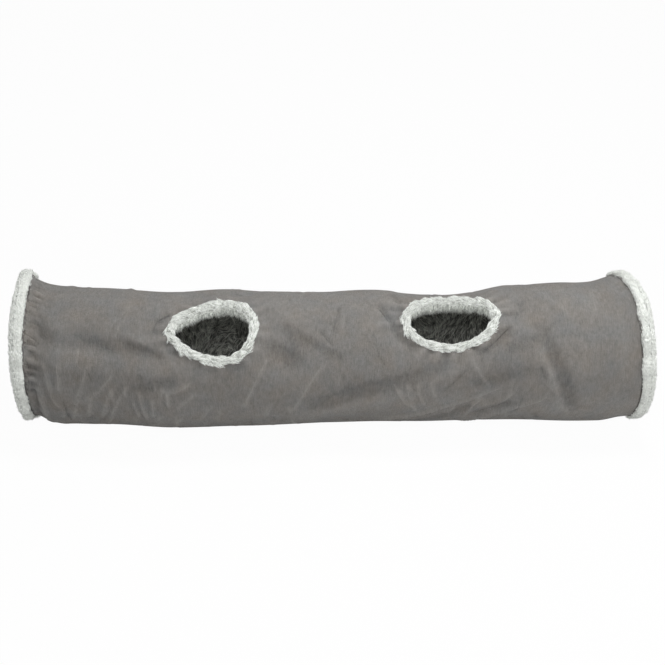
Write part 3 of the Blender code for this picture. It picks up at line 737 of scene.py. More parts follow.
def creaseLines(x, angle):
    # each point's nearest narrow crease: the distance to its line in line widths, signed, and how strong the line is;
    # the line is painted shade in a valley and, on a ridge, a lighter line of worn nap and painted highlight
    nearest = np.ones(x.shape)
    side, mark = np.zeros(x.shape), np.zeros(x.shape)
    for start, end, width, height, _ in allCreases:
        if width > cover["narrow"]:
            continue
        distance, sign, along = segmentDistance(x, angle, start, end)
        closer = distance < nearest
        nearest = np.where(closer, distance, nearest)
        side = np.where(closer, distance * sign, side)
        strength = math.copysign(min(abs(height) / cover["lineFull"], cover["lineLimit"]), height)
        mark = np.where(closer, strength * ease(np.minimum(along, 1 - along) * 6), mark)
    return side / cover["lineWidth"], mark * ease((cover["lineReach"] - nearest) / cover["lineFade"])


def coverDetail(x, angle):
    seam = np.abs(turnFrom(angle, cover["seamAngle"]))
    overSeam = 1 - ease((seam * tunnel["bodyRadius"] - cover["seamWidth"] / 2) / cover["seamEdge"])
    return creaseRelief(x, angle) + endDip(x, angle) + endBulge(x, angle) + cover["seamHeight"] * overSeam


def wallDetail(x, angle):
    # what lies inside the cover goes in with its dents, not out with its ridges
    return np.minimum(coverDetail(x, angle), 0.0)


def coverAngles():
    front = np.linspace(cover["frontFrom"], cover["frontTo"], cover["frontColumns"], endpoint=False)
    back = np.linspace(cover["frontTo"], cover["frontFrom"] + 360, cover["backColumns"], endpoint=False)
    return np.radians(np.concatenate([front, back]))


def clothTube(name, rows, angles, depth, thickness, detail, material):
    # a tube of cloth with the two windows cut out, thickened inwards
    xs = np.linspace(-clothEnd, clothEnd, rows)
    x, angle = (grid.copy() for grid in np.broadcast_arrays(xs[:, None], angles[None]))
    columns = len(angles)
    faces = np.array(gridFaces(rows, columns))
    flatX, flatAngle = x.ravel(), angle.ravel()
    faceAngle = flatAngle[faces]
    faceAngle = np.where(faceAngle.max(1, keepdims=True) - faceAngle > math.pi, faceAngle + 2 * math.pi, faceAngle)
    middleX, middleAngle = flatX[faces].mean(1), faceAngle.mean(1)
    keep = np.ones(len(faces), bool)
    for window in windows.values():
        inside = windowReach(window, middleX, middleAngle)[0] < 1
        keep &= ~inside
        border = np.intersect1d(faces[inside], faces[~inside])
        reach, u, v = windowReach(window, flatX[border], flatAngle[border])
        flatX[border], flatAngle[border] = onWindowEdge(window, reach, u, v)
    points = clothPoint(flatX, flatAngle, depth, detail)
    used, index = np.unique(faces[keep], return_inverse=True)
    mesh = meshFrom(name, points[used], index.reshape(-1, 4)[:, ::-1].tolist())
    radius = tunnel["bodyRadius"]
    addUv(mesh, np.stack([flatX, flatAngle * radius], -1)[used], wrap=2 * math.pi * radius)
    place = flatX[used], wrapAngle(flatAngle[used])
    side, mark = creaseLines(*place)
    # the relief lightens high ridges (worn nap and painted highlight) and paints shade into deep creases
    relief = np.clip(creaseRelief(*place) / cover["reliefTop"], -1.0, 1.0)      # 1 on high ridges, -1 in deep creases
    writeValues(mesh, relief=relief, creaseSide=side, creaseMark=mark)
    piece = addPiece(name, mesh, material)
    shell = piece.modifiers.new("thickness", "SOLIDIFY")
    shell.thickness = thickness
    shell.offset = -1
    return applyModifiers(piece)


coverCloth = clothTube("cover_cloth", cover["rows"], coverAngles(), 0.0, tunnel["coverThickness"], coverDetail,
                       suedeMaterial)
print("scene: cover made,", len(coverCloth.data.polygons), "faces")


# Lining: the same tube inside the wire

lining = {
    "rows": 150,
    "columns": 92,
}
liningAngles = np.radians(np.linspace(-90, 270, lining["columns"], endpoint=False))
liningCloth = clothTube("lining_cloth", lining["rows"], liningAngles, liningDepth, tunnel["liningThickness"],
                        wallDetail, liningMaterial)
print("scene: lining made,", len(liningCloth.data.polygons), "faces")


# Bands: plush strips folded over the cloth's edges

endBand = {
    "steps": 200,
    "slimmer": 0.0015,            # the pile makes up the rest of the width
    "narrower": 0.0030,
    "foldReach": 1.7,
    "foldPower": 0.7,
    "legBulge": 0.0006,
    "edgeTurn": 0.0030,           # the legs' edges turn in by this much over their last part
    "edgeFrom": 0.86,
    "lump": 0.0024,
    "mouthWander": 0.0022,
}
windowBand = {
    "steps": 132,
    "inward": 0.0062,
    "outward": 0.0108,
    "leg": 0.0030,
    "seamGap": 0.0003,
    "lump": 0.0010,
}


def endBandProfile():
    # outline and slot of the folded strip as (distance in from the outer face, radius)
    outer, fold = tunnel["bindingRadius"] - endBand["slimmer"], tunnel["bandFold"]
    width = tunnel["bandWidth"] - endBand["narrower"]
    slotOuter = tunnel["endRadius"] + tunnel["slotGap"]
    slotInner = tunnel["endRadius"] - wallThickness - tunnel["slotGap"]
    inner = slotInner - tunnel["bandLeg"]
    middle, half = (outer + inner) / 2, (outer - inner) / 2

    def leg(radius, outwards):
        # one leg of the strip, slightly bulged
        for share in np.linspace(0.35, 1.0, 6):
            turned = endBand["edgeTurn"] * ease((share - endBand["edgeFrom"]) / (1 - endBand["edgeFrom"]))
            yield float(width * share), float(radius + outwards * (
                endBand["legBulge"] * math.sin(share * math.pi) - turned))

    roundFold = [(float(fold * endBand["foldReach"] * (1 - math.sin(turn) ** endBand["foldPower"])),
                  float(middle + half * math.cos(turn))) for turn in np.linspace(0, math.pi, 15)]
    slot = [(width, slotInner), (fold, slotInner), (fold, slotOuter), (width, slotOuter)]
    return list(leg(outer, 1))[::-1] + roundFold + list(leg(inner, -1)), slot


def endBandPoints(side, profile, angles, seed):
    # the profile turned round the hoop's axis, with soft lumps and a wandering edge
    sign = 1 if side == "right" else -1
    lean = tunnel["endLean"] if side == "right" else 0.0
    middle = hoopMiddle[side]
    along, radius = (np.array(column)[None] for column in zip(*profile))
    angle = np.asarray(angles)[:, None]
    slotMiddle = tunnel["endRadius"] - wallThickness / 2
    outwards = np.sign(radius - slotMiddle)
    shownPart = np.abs(radius - slotMiddle) > wallThickness / 2 + 0.001
    lump = endBand["lump"] * waves(angle, seed, 7, 26, 8)
    radius = radius + np.where(shownPart, outwards * lump, 0.0)
    wander = endBand["mouthWander"] * waves(angle, seed + 1, 6, 22, 7)
    along = along + wander * ease(along / tunnel["bandWidth"] * 2 - 1) * shownPart
    atMouth = (along > tunnel["bandWidth"] / 2) & ~shownPart & (radius > slotMiddle)
    radius = radius + atMouth * endDip(sign * clothBend, angle)     # the cloth lies lower in the strip's mouth
    axial = sign * (outerFace - halfSpacing - along)
    up = np.sin(angle) * radius
    x = axial * math.cos(lean) - up * math.sin(lean) - ringBend(sign * clothEnd, angle)
    z = axial * math.sin(lean) + up * math.cos(lean)
    x, y, z = np.broadcast_arrays(middle.x + x, middle.y - np.cos(angle) * radius, middle.z + z)
    return np.stack([x, y, np.maximum(z, 0.0)], -1)


def makeEndBand(side, seed):
    shown, slot = endBandProfile()
    profile = shown + slot
    angles = np.linspace(0, 2 * math.pi, endBand["steps"], endpoint=False)
    faces = gridFaces(len(angles), len(profile), closedRows=True, flip=side == "left")
    mesh = meshFrom(f"{side}_end_band", endBandPoints(side, profile, angles, seed), faces)
    return addPiece(f"{side}_end_band", mesh, bandMaterial), [slot[-1]] + shown, angles


def windowFrame(window, turns):
    # middle of the wall at the window's edge, with the directions away from the window and out of the cloth
    x, angle = windowPlace(window, turns)
    edge = clothPoint(x, angle, wallThickness / 2, coverDetail)
    outward = unit(clothPoint(x, angle, 0.0, coverDetail) - edge)
    return edge, unit(np.cross(np.roll(edge, -1, 0) - np.roll(edge, 1, 0), outward)), outward


def windowBandProfile(slotted=True):
    # the folded strip's section as (away from the window, out of the cloth)
    halfWidth = (windowBand["inward"] + windowBand["outward"]) / 2
    slot = wallThickness / 2 + windowBand["seamGap"]
    halfHeight = slot + windowBand["leg"]
    start = math.asin(slot / halfHeight)
    shift = halfWidth - windowBand["inward"]
    outline = [(shift + halfWidth * math.cos(turn), halfHeight * math.sin(turn))
               for turn in np.linspace(start, 2 * math.pi - start, 19)]
    if not slotted:
        return outline
    return outline + [(-windowBand["seamGap"], -slot), (-windowBand["seamGap"], slot)]


def windowBandPoints(side, profile, turns, seed):
    edge, away, outward = windowFrame(windows[side], turns)
    size = windowBand["lump"] / windowBand["inward"]
    lump = 1 + size * waves(turns, seed, 7, 24, 7)[:, None, None]
    wideLump = 1 + size * waves(turns, seed + 1, 5, 19, 7)[:, None, None]
    across, up = (np.array(column)[None, :, None] for column in zip(*profile))
    shown = np.abs(up) > wallThickness / 2 + windowBand["seamGap"] + 1e-4
    up = np.where(shown, up * lump, up)
    return edge[:, None] + away[:, None] * across * wideLump + outward[:, None] * up


def makeWindowBand(side, seed):
    turns = np.linspace(0, 2 * math.pi, windowBand["steps"], endpoint=False)
    profile = windowBandProfile()
    points = windowBandPoints(side, profile, turns, seed)
    mesh = meshFrom(f"{side}_window_band", points, gridFaces(len(turns), len(profile), closedRows=True, flip=True))
    return addPiece(f"{side}_window_band", mesh, windowBandMaterial), turns


# Locks of pile, a few strands each, that Geometry Nodes set on the plush

def makeLock(name, strands, width, spread, gather, bend, seed):
    # one lock of unit length along Z: tapering three-sided strands whose tips gather
    random = np.random.default_rng(seed)
    points, faces, along, tone = [], [], [], []
    for strand in range(strands):
        turn = 2 * math.pi * strand / strands + random.uniform(-0.5, 0.5)
        root = np.array([math.cos(turn), math.sin(turn)]) * spread * random.uniform(0.3, 1.0)
        tip = root * gather + random.normal(0, 0.06, 2)
        sway = random.normal(0, bend, 2)
        length = random.uniform(0.75, 1.0)
        level = random.uniform(0, 1)
        first = len(points)
        for height, thick in ((0.0, 1.0), (0.55, 0.8)):
            middle = root * (1 - height) + tip * height + sway * math.sin(height * math.pi)
            for corner in range(3):
                spin = 2 * math.pi * corner / 3 + turn
                points.append((middle[0] + width * thick * math.cos(spin), middle[1] + width * thick * math.sin(spin),
                               height * length))
                along.append(height)
                tone.append(level)
        points.append((tip[0], tip[1], length))
        along.append(1.0)
        tone.append(level)
        faces.append((first + 2, first + 1, first))
        for corner in range(3):
            beside = (corner + 1) % 3
            faces.append((first + corner, first + beside, first + 3 + beside, first + 3 + corner))
            faces.append((first + 3 + corner, first + 3 + beside, first + 6))
    mesh = meshFrom(name, points, faces)
    writeValues(mesh, along=along, tone=tone)
    return bpy.data.objects.new(name, mesh)


def lockCollection(name, **shape):
    collection = bpy.data.collections.new(name)
    for number in range(4):
        collection.objects.link(makeLock(f"{name}{number}", seed=number + 3, **shape))
    return collection


def newGeometryTree(name, **inputs):
    tree = bpy.data.node_groups.new(name, "GeometryNodeTree")
    for label, kind in {"Geometry": "Geometry", **inputs, "Material": "Material"}.items():
        tree.interface.new_socket(name=label.replace("_", " "), in_out="INPUT", socket_type="NodeSocket" + kind)
    tree.interface.new_socket(name="Geometry", in_out="OUTPUT", socket_type="NodeSocketGeometry")
    return tree, tree.nodes.new("NodeGroupInput").outputs


def endTree(tree, geometry, material):
    # smooth faces, the material and the tree's output
    smooth = addNode(tree, "GeometryNodeSetShadeSmooth", Geometry=geometry)
    dressed = addNode(tree, "GeometryNodeSetMaterial", Geometry=smooth.outputs[0], Material=material)
    addNode(tree, "NodeGroupOutput", Geometry=dressed.outputs[0])
    return tree


def buildPileTree():
    # base surface in, strands out. The base carries the comb direction and the shares of density, length and spread
    tree, value = newGeometryTree("setPile", Locks="Collection", Density="Float", Seed="Int", Length="Float",
                                  Uneven="Float", Lift="Float", Spread="Float", Floor_Gap="Float")

    def attribute(name, kind):
        return addNode(tree, "GeometryNodeInputNamedAttribute", {"data_type": kind}, Name=name).outputs[0]

    def randomValue(kind, low, high, offset):
        first, second, result = {"FLOAT": (2, 3, 1), "FLOAT_VECTOR": (0, 1, 0)}[kind]
        seed = mathNode(tree, "ADD", value["Seed"], offset)
        limits = {f"n{first}": low, f"n{second}": high}
        return addNode(tree, "FunctionNodeRandomValue", {"data_type": kind}, Seed=seed, **limits).outputs[result]

    def vectorNode(operation, first, **others):
        return addNode(tree, "ShaderNodeVectorMath", {"operation": operation}, n0=first, **others).outputs[0]

    density = mathNode(tree, "MULTIPLY", attribute("fur", "FLOAT"), value["Density"])
    spots = addNode(tree, "GeometryNodeDistributePointsOnFaces", {"distribute_method": "RANDOM"},
                    Mesh=value["Geometry"], Density=density, Seed=value["Seed"])
    spread = mathNode(tree, "MULTIPLY", value["Spread"], attribute("loose", "FLOAT"))
    loose = vectorNode("SCALE", randomValue("FLOAT_VECTOR", (-1, -1, -1), (1, 1, 1), 1), Scale=spread)
    direction = vectorNode("ADD", attribute("comb", "FLOAT_VECTOR"), n1=loose)
    upright = addNode(tree, "ShaderNodeVectorMath", {"operation": "DOT_PRODUCT"}, n0=direction,
                      n1=spots.outputs["Normal"])
    missing = mathNode(tree, "MAXIMUM", mathNode(tree, "SUBTRACT", value["Lift"], upright.outputs["Value"]), 0.0)
    direction = vectorNode("ADD", direction, n1=vectorNode("SCALE", spots.outputs["Normal"], Scale=missing))
    aimed = addNode(tree, "FunctionNodeAlignRotationToVector", {"axis": "Z"}, Vector=direction)
    spin = addNode(tree, "ShaderNodeCombineXYZ", Z=randomValue("FLOAT", 0.0, 2 * math.pi, 2))
    spun = addNode(tree, "FunctionNodeEulerToRotation", n0=spin.outputs[0])
    turned = addNode(tree, "FunctionNodeRotateRotation", {"rotation_space": "LOCAL"}, Rotation=aimed.outputs[0],
                     n1=spun.outputs[0])
    uneven = mathNode(tree, "MULTIPLY_ADD", randomValue("FLOAT", -1.0, 1.0, 3), value["Uneven"], 1.0)
    size = mathNode(tree, "MULTIPLY", mathNode(tree, "MULTIPLY", uneven, value["Length"]), attribute("reach", "FLOAT"))
    locks = addNode(tree, "GeometryNodeCollectionInfo", {"transform_space": "ORIGINAL"}, Collection=value["Locks"],
                    Separate_Children=True, Reset_Children=True)
    placed = addNode(tree, "GeometryNodeInstanceOnPoints", Points=spots.outputs["Points"], Instance=locks.outputs[0],
                     Rotation=turned.outputs[0], Scale=size, Pick_Instance=True)
    real = addNode(tree, "GeometryNodeRealizeInstances", Geometry=placed.outputs[0])
    place = addNode(tree, "GeometryNodeInputPosition").outputs[0]
    parts = addNode(tree, "ShaderNodeSeparateXYZ", n0=place)
    height = mathNode(tree, "MAXIMUM", parts.outputs[2], value["Floor Gap"])
    held = addNode(tree, "ShaderNodeCombineXYZ", X=parts.outputs[0], Y=parts.outputs[1], Z=height)
    moved = addNode(tree, "GeometryNodeSetPosition", Geometry=real.outputs[0], Position=held.outputs[0])
    return endTree(tree, moved.outputs[0], value["Material"])


pileTree = buildPileTree()


def runTree(piece, tree, values):
    # sets a Geometry Nodes modifier by the sockets' identifiers and turns what it makes into a plain mesh
    modifier = piece.modifiers.new(tree.name, "NODES")
    modifier.node_group = tree
    for item in tree.interface.items_tree:
        if item.item_type == "SOCKET" and item.in_out == "INPUT" and item.name in values:
            modifier[item.identifier] = values[item.name]
    piece.data.update()
    return applyModifiers(piece)


def growPile(name, points, faces, comb, fur, reach, loose, values):
    # pile on a base surface: comb is a direction for each point, the others are shares of density, length and spread
    mesh = meshFrom(name, points, faces)
    layer = mesh.attributes.new("comb", "FLOAT_VECTOR", "POINT")
    layer.data.foreach_set("vector", np.asarray(comb, np.float32).ravel())
    writeValues(mesh, fur=fur, reach=reach, loose=loose)
    piece = runTree(addPiece(name, mesh), pileTree, values)
    print(f"scene: {name}, {len(piece.data.vertices) // 7} strands")
    return piece


def combAxes(points):
    # along a band's roll and across it, at each of its points
    around = unit(np.roll(points, -1, 0) - np.roll(points, 1, 0))
    across = unit(np.roll(points, -1, 1) - np.roll(points, 1, 1))
    across[:, 0], across[:, -1] = across[:, 1], across[:, -2]
    return around, across


# Pile of the end bands: short, combed round the hoop. Values with a capital are the node tree's inputs

endPile = {
    "Density": 57000.0,
    "Length": 0.0080,
    "Uneven": 0.22,
    "Lift": 0.06,
    "Spread": 0.10,
    "Floor Gap": 0.0003,
    "swing": 0.22,
    "ruffle": 2.2,                # where the ring stands, the pile is ruffled by this much more
    "ruffleFrom": 0.55,
}
whiteLocks = lockCollection("whiteLock", strands=5, width=0.050, spread=0.22, gather=0.45, bend=0.07)
longLocks = lockCollection("longLock", strands=5, width=0.036, spread=0.11, gather=0.35, bend=0.05)


def growEndPile(side, shown, angles, seed):
    points = endBandPoints(side, shown, angles, seed)
    faces = gridFaces(len(angles), len(shown), closedRows=True, closedColumns=False, flip=side == "left")
    around, across = combAxes(points)
    comb = around + across * endPile["swing"] * waves(angles, seed + 7, 2, 9, 6)[:, None, None]
    ruffled = 1 + endPile["ruffle"] * ease((-np.sin(angles) - endPile["ruffleFrom"]) / 0.3)
    values = {**endPile, "Locks": whiteLocks, "Seed": seed, "Material": whitePileMaterial}
    return growPile(f"{side}_end_pile", points, faces, comb, 1.0, 1.0, np.repeat(ruffled, len(shown)), values)


for bandSide, bandSeed in (("left", 61), ("right", 71)):
    band, shownProfile, bandAngles = makeEndBand(bandSide, bandSeed)
    pile = growEndPile(bandSide, shownProfile, bandAngles, bandSeed)
    for piece in (band, pile):
        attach(piece, f"{bandSide}_end")
    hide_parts(f"end_binding_{bandSide}")
print("scene: end bands made")


# Pile of the window bands, longer, and a fringe that hangs inside the far lip

windowPile = {
    "Density": 125000.0,
    "Length": 0.0115,
    "Uneven": 0.35,
    "Lift": 0.06,
    "Spread": 0.13,
    "Floor Gap": 0.0003,
    "fray": 3.0,                  # in a few places the locks stray by this much more
    "around": (0.9, 0.3),         # comb direction: its middle and how far it wanders
    "across": (-0.10, 0.25),
}
fringe = {
    "Density": 170000.0,
    "Length": 0.0165,
    "Uneven": 0.30,
    "Lift": 0.02,
    "Spread": 0.14,
    "Floor Gap": 0.0003,
}
fringeLocks = lockCollection("fringeLock", strands=5, width=0.042, spread=0.10, gather=0.15, bend=0.05)


def growWindowPile(side, turns, seed):
    shown = windowBandProfile(slotted=False)
    points = windowBandPoints(side, shown, turns, seed)
    faces = gridFaces(len(turns), len(shown), closedRows=True, closedColumns=False, flip=True)
    around, across = combAxes(points)
    swing = waves(turns, seed + 7, 3, 11, 6)[:, None, None]
    (runMiddle, runWander), (sideMiddle, sideWander) = windowPile["around"], windowPile["across"]
    comb = around * (runMiddle + runWander * swing) + across * (sideMiddle + sideWander * np.roll(swing, 9, 0))
    frayed = 1 + windowPile["fray"] * ease(waves(turns, seed + 9, 4, 13, 6) - 0.6)
    values = {**windowPile, "Locks": longLocks, "Seed": seed, "Material": lockMaterial}
    return growPile(f"{side}_window_pile", points, faces, comb, 1.0, 1.0, np.repeat(frayed, len(shown)), values)


def growFringe(side, turns, seed):
    # under the far lip the pile hangs straight down
    inner = [place for place in windowBandProfile(slotted=False) if place[1] < 0.002 and place[0] < 0.004]
    points = windowBandPoints(side, inner, turns, seed)
    faces = gridFaces(len(turns), len(inner), closedRows=True, closedColumns=False, flip=True)
    farLip = np.repeat(ease(np.sin(turns) * 1.6 + 0.1), len(inner))
    comb = np.broadcast_to((0.0, -0.10, -1.0), points.shape)
    values = {**fringe, "Locks": fringeLocks, "Seed": seed, "Material": fringeMaterial}
    return growPile(f"{side}_window_fringe", points, faces, comb, farLip, 0.6 + 0.4 * farLip, 1.0, values)


for bandSide, bandSeed, bay in (("left", 81, 2), ("right", 91, 4)):
    band, bandTurns = makeWindowBand(bandSide, bandSeed)
    pile = growWindowPile(bandSide, bandTurns, bandSeed)
    hanging = growFringe(bandSide, bandTurns, bandSeed + 5)
    for piece in (band, pile, hanging):
        rideBay(piece, bay)
    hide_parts(f"window_binding_{bandSide}")
print("scene: window bands made")


# Pile of the lining: long and dark, in five fields, one for each bay

liningPile = {
    "Density": 17000.0,
    "Length": 0.0200,
    "Uneven": 0.35,
    "Lift": 0.30,
    "Spread": 0.55,
    "Floor Gap": 0.0100,
    "rowStep": 0.0125,
    "columns": 72,
    "bayShares": (0.200, 0.4055, 0.579, 0.7775),
    "strays": 6,                  # waves that turn the comb direction here and there
    "straySeed": 200,
    "strayAlong": 0.35,
    "strayDown": 0.30,
    "usual": 0.8,                 # share of the density, more where a window shows the pile
    "shown": 0.7,
    "shownReach": 0.13,
}
darkLocks = lockCollection("darkLock", strands=4, width=0.030, spread=0.20, gather=0.35, bend=0.10)


def growLiningPile(bay):
    cuts = [-clothEnd, *(placeAlong(share) for share in liningPile["bayShares"]), clothEnd]
    start, end = cuts[bay - 1], cuts[bay]
    xs = np.linspace(start, end, max(2, round((end - start) / liningPile["rowStep"])))
    angles = np.radians(np.linspace(-90, 270, liningPile["columns"], endpoint=False))
    x, angle = np.broadcast_arrays(xs[:, None], angles[None])
    points = clothPoint(x, angle, wallThickness, wallDetail)
    faces = gridFaces(len(xs), len(angles))
    down = unit(clothPoint(x, angle - 0.02, wallThickness) - clothPoint(x, angle + 0.02, wallThickness))
    back = np.where(np.cos(angle)[..., None] > 0, 1.0, -1.0)
    random = np.random.default_rng(liningPile["straySeed"])
    comb = down * back * 0.8
    for _ in range(liningPile["strays"]):
        phase, scaleX, scaleUp = random.uniform(0, 6.28), random.uniform(18, 45), random.integers(2, 7)
        stray = np.sin(x * scaleX + angle * scaleUp + phase)[..., None]
        comb = comb + np.array([liningPile["strayAlong"], 0, 0]) * stray
        comb = comb + down * (liningPile["strayDown"] * np.cos(x * scaleX * 0.8 - angle * scaleUp + phase))[..., None]
    fur = np.where(np.abs(x) > bandEdge, 0.0, liningPile["usual"])
    for window in windows.values():
        reach = windowReach(window, x, angle)[0]
        opposite = np.exp(-np.square((x - placeAlong(window["share"])) / liningPile["shownReach"]))
        opposite = opposite * (np.sin(angle) < 0.95) * (np.cos(angle) < 0.3) * (reach > 1.3)
        fur = fur * ease((reach - 1.05) / 0.15) + liningPile["shown"] * opposite
    values = {**liningPile, "Locks": darkLocks, "Seed": 300 + bay, "Material": darkPileMaterial}
    return growPile(f"lining_pile_{bay}", points, faces, comb, fur.ravel(), 1.0, 1.0, values)


for bay in range(1, 6):
    pile = growLiningPile(bay)
    rideBay(pile, bay)
print("scene: lining pile grown")


# Stitches beside the bands and along the back seam

stitches = {
    "pitch": 0.0036,
    "length": 0.0026,
    "thickness": 0.00060,
    "underBand": 0.0042,          # how far under the band's edge the row runs
    "seamShare": 0.32,            # of the seam's width, on each side of its middle
    "lift": 0.0003,
}


def makeStitch():
    # one stitch along Z: a six-sided spindle
    half, thick = stitches["length"] / 2, stitches["thickness"]
    rings = ((-half, 0.35), (-half * 0.55, 1.0), (half * 0.55, 1.0), (half, 0.35))
    points = [(thick * share * math.cos(turn), thick * share * math.sin(turn), height)
              for height, share in rings for turn in np.linspace(0, 2 * math.pi, 6, endpoint=False)]
    faces = gridFaces(len(rings), 6)
    faces += [tuple(range(5, -1, -1)), tuple(range(18, 24))]
    return bpy.data.objects.new("stitch", meshFrom("stitch", points, faces))


def buildStitchTree():
    tree, value = newGeometryTree("sewRow", Stitch="Object", Pitch="Float")
    line = addNode(tree, "GeometryNodeMeshToCurve", Mesh=value["Geometry"])
    spots = addNode(tree, "GeometryNodeCurveToPoints", {"mode": "LENGTH"}, Curve=line.outputs[0], Length=value["Pitch"])
    stitch = addNode(tree, "GeometryNodeObjectInfo", Object=value["Stitch"])
    placed = addNode(tree, "GeometryNodeInstanceOnPoints", Points=spots.outputs["Points"],
                     Instance=stitch.outputs["Geometry"], Rotation=spots.outputs["Rotation"])
    real = addNode(tree, "GeometryNodeRealizeInstances", Geometry=placed.outputs[0])
    return endTree(tree, real.outputs[0], value["Material"])


stitchTree = buildStitchTree()
stitchShape = makeStitch()


def sewRow(name, rows):
    # rows of stitches along lists of points on the cloth. A row is a chain of edges
    points, edges = [], []
    for row, closed in rows:
        first = len(points)
        points += [tuple(point) for point in row]
        count = len(row)
        edges += [(first + index, first + (index + 1) % count) for index in range(count if closed else count - 1)]
    mesh = bpy.data.meshes.new(name)
    mesh.from_pydata(points, edges, [])
    values = {"Stitch": stitchShape, "Pitch": stitches["pitch"], "Material": threadMaterial}
    return runTree(addPiece(name, mesh), stitchTree, values)


ringTurns = np.linspace(0, 2 * math.pi, 240, endpoint=False)
for rowSide, rowSign in (("left", -1), ("right", 1)):
    rowPlace = np.full(len(ringTurns), rowSign * (clothBend + stitches["underBand"]))
    row = clothPoint(rowPlace, ringTurns, -stitches["lift"], coverDetail)
    sewn = sewRow(f"{rowSide}_end_stitches", [(row, True)])
    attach(sewn, f"{rowSide}_end")
seamRun = np.linspace(-clothBend + 0.004, clothBend - 0.004, 320)
seamOffset = cover["seamWidth"] * stitches["seamShare"] / tunnel["bodyRadius"]
seamRows = [(clothPoint(seamRun, np.full(len(seamRun), math.radians(cover["seamAngle"]) + offset), -stitches["lift"],
                        coverDetail), False) for offset in (-seamOffset, seamOffset)]
seamStitches = sewRow("back_seam_stitches", seamRows)
print("scene: stitches sewn")


# Wires, casing and sleeves: copies of the imported forms that follow the cloth

def copyNode(node, name, material):
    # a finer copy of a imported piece, moved with the rings' bend and with the dents of the cloth
    mesh = frame["nodes"][node].data.copy()
    mesh.materials.clear()
    piece = addPiece(name, mesh, material)
    weld = piece.modifiers.new("weld", "WELD")
    weld.merge_threshold = 0.00001
    finer = piece.modifiers.new("finer", "SUBSURF")
    finer.subdivision_type = "SIMPLE"
    finer.levels = finer.render_levels = 2
    applyModifiers(piece)
    place = np.empty(len(piece.data.vertices) * 3)
    piece.data.vertices.foreach_get("co", place)
    place = place.reshape(-1, 3)
    x = place[:, 0] - tunnelShift
    y, z = centreLine(x)
    outward = np.stack([np.zeros(len(x)), place[:, 1] - y, place[:, 2] - z], -1)
    angle = wrapAngle(np.arctan2(outward[:, 2], -outward[:, 1]))
    place[:, 0] -= ringBend(x, angle)
    dent = wallDetail(x, angle) * lifted(angle) * ease((clothBend - np.abs(x)) / cover["calmRun"])
    highest = coverRadius(x, angle, coverDetail) - tunnel["coverThickness"] - cover["casingGap"]
    over = np.linalg.norm(outward, axis=1) + dent - highest
    dent = dent - np.where(pastBend(x) > 0, 0.0, np.maximum(over, 0.0))
    place += unit(outward) * dent[:, None]
    piece.data.vertices.foreach_set("co", place.ravel())
    piece.data.update()
    return piece


springCoil = copyNode("spring_wire", "spring_coil", wireMaterial)
casingStrip = copyNode("wire_casing", "casing_strip", tapeMaterial)
bays = range(1, 6)
for piece, slot, replaced in ((springCoil, "spring_steel", ["spring_wire"]),
                              (casingStrip, "casing_tape", ["wire_casing"]),
                              (coverCloth, "suede_cover", [f"cover_bay_{bay}" for bay in bays]),
                              (seamStitches, "suede_cover", []),
                              (liningCloth, "dark_plush", [f"lining_bay_{bay}" for bay in bays])):
    rideBay(piece, 1)
    if replaced:
        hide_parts(*replaced)
for node, material, slot in (("end_hoop", wireMaterial, "spring_steel"),
                             ("hoop_ferrule", sleeveMaterial, "sleeve_steel"),
                             ("spring_clamp", sleeveMaterial, "sleeve_steel")):
    for nodeSide in ("left", "right"):
        bent = copyNode(f"{node}_{nodeSide}", f"bent_{node}_{nodeSide}", material)
        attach(bent, f"{nodeSide}_end")
        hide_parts(f"{node}_{nodeSide}")
print("scene: pieces ride on their bodies")


# Studio: a pale floor, soft light and the photograph's viewpoint

studio = {
    "floorSize": 12.0,
    "floorColour": (0.80, 0.80, 0.80),
    "shadowShare": 0.03,
    "worldLight": 0.20,
    "keyEnergy": 39.0,
    "keyPlace": (0.55, 0.25, 2.5),
    "keySize": 0.6,
    "fillEnergy": 13.5,
    "fillPlace": (-0.1, -1.6, 1.8),
    "fillSize": 0.5,
    "sideEnergy": 8.0,
    "sidePlace": (1.7, -1.4, 0.9),
    "sideSize": 0.35,
    "lightAim": (0.0, 0.0, 0.1),
    "cameraDistance": 2.4,
    "cameraElevation": 35.0,
    "cameraAim": (-0.0089, 0.0053, 0.150),
    "lens": 62.0,
    "sensorWidth": 36.0,
    "shiftDown": 15.0 / 665.0,
}


def seenDirectly(tree):
    # 1 for the camera, mirrors and glass
    path = addNode(tree, "ShaderNodeLightPath").outputs
    seen = mathNode(tree, "MAXIMUM", path["Is Camera Ray"], path["Is Glossy Ray"])
    return mathNode(tree, "MAXIMUM", seen, path["Is Transmission Ray"])


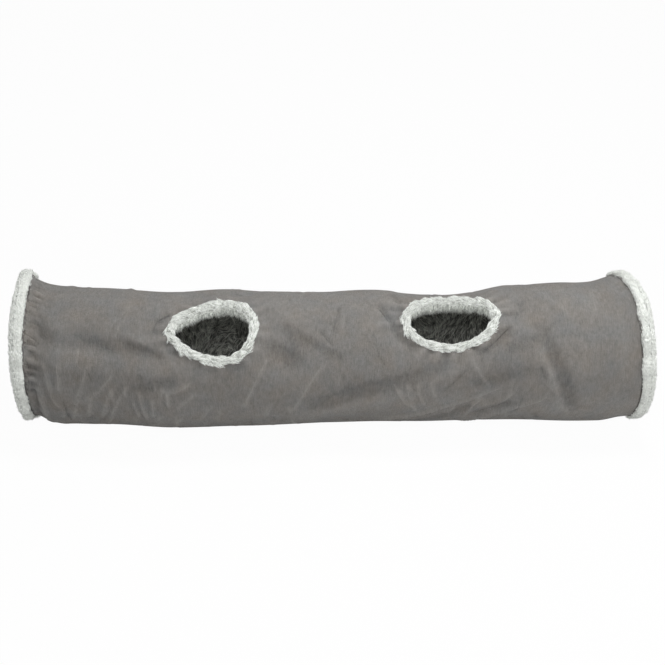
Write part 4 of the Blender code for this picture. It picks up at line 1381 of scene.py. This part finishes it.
def makeFloor():
    half = studio["floorSize"] / 2
    mesh = meshFrom("floor", [(-half, -half, 0), (half, -half, 0), (half, half, 0), (-half, half, 0)], [(0, 1, 2, 3)],
                    smooth=False)
    material = bpy.data.materials.new("paleFloor")
    material.use_nodes = True
    tree = material.node_tree
    shader = tree.nodes["Principled BSDF"]
    shader.inputs["Base Color"].default_value = (*studio["floorColour"], 1)
    shader.inputs["Roughness"].default_value = 1.0
    shader.inputs["Specular IOR Level"].default_value = 0.0
    glow = addNode(tree, "ShaderNodeEmission", Color=(1, 1, 1, 1), Strength=1.0)
    white = mathNode(tree, "MULTIPLY", seenDirectly(tree), 1 - studio["shadowShare"])
    mix = addNode(tree, "ShaderNodeMixShader", n0=white, n1=shader.outputs[0], n2=glow.outputs[0])
    tree.links.new(mix.outputs[0], tree.nodes["Material Output"].inputs["Surface"])
    addPiece("floor", mesh, material)


def makeWorld():
    world = bpy.data.worlds.new("studioWorld")
    world.use_nodes = True
    tree = world.node_tree
    ground = tree.nodes["Background"]
    ground.inputs["Color"].default_value = (1, 1, 1, 1)
    level = mathNode(tree, "MULTIPLY_ADD", seenDirectly(tree), 1 - studio["worldLight"], studio["worldLight"])
    tree.links.new(level, ground.inputs["Strength"])
    bpy.context.scene.world = world


def aimAt(thing, place, aim):
    thing.location = place
    thing.rotation_euler = (aim - place).to_track_quat("-Z", "Y").to_euler()
    return thing


def makeLight(name):
    data = bpy.data.lights.new(name, "AREA")
    data.energy = studio[f"{name}Energy"]
    data.size = studio[f"{name}Size"]
    aimAt(addPiece(f"{name}Light", data), Vector(studio[f"{name}Place"]), Vector(studio["lightAim"]))


def makeCamera():
    data = bpy.data.cameras.new("camera")
    data.lens = studio["lens"]
    data.sensor_width = studio["sensorWidth"]
    data.shift_y = studio["shiftDown"]
    tilt = math.radians(studio["cameraElevation"])
    aim = Vector(studio["cameraAim"])
    place = aim + Vector((0, -math.cos(tilt), math.sin(tilt))) * studio["cameraDistance"]
    bpy.context.scene.camera = aimAt(addPiece("camera", data), place, aim)


makeFloor()
makeWorld()
for lightName in ("key", "fill", "side"):
    makeLight(lightName)
makeCamera()
bpy.context.scene.view_settings.view_transform = "Standard"
print("scene: ready")
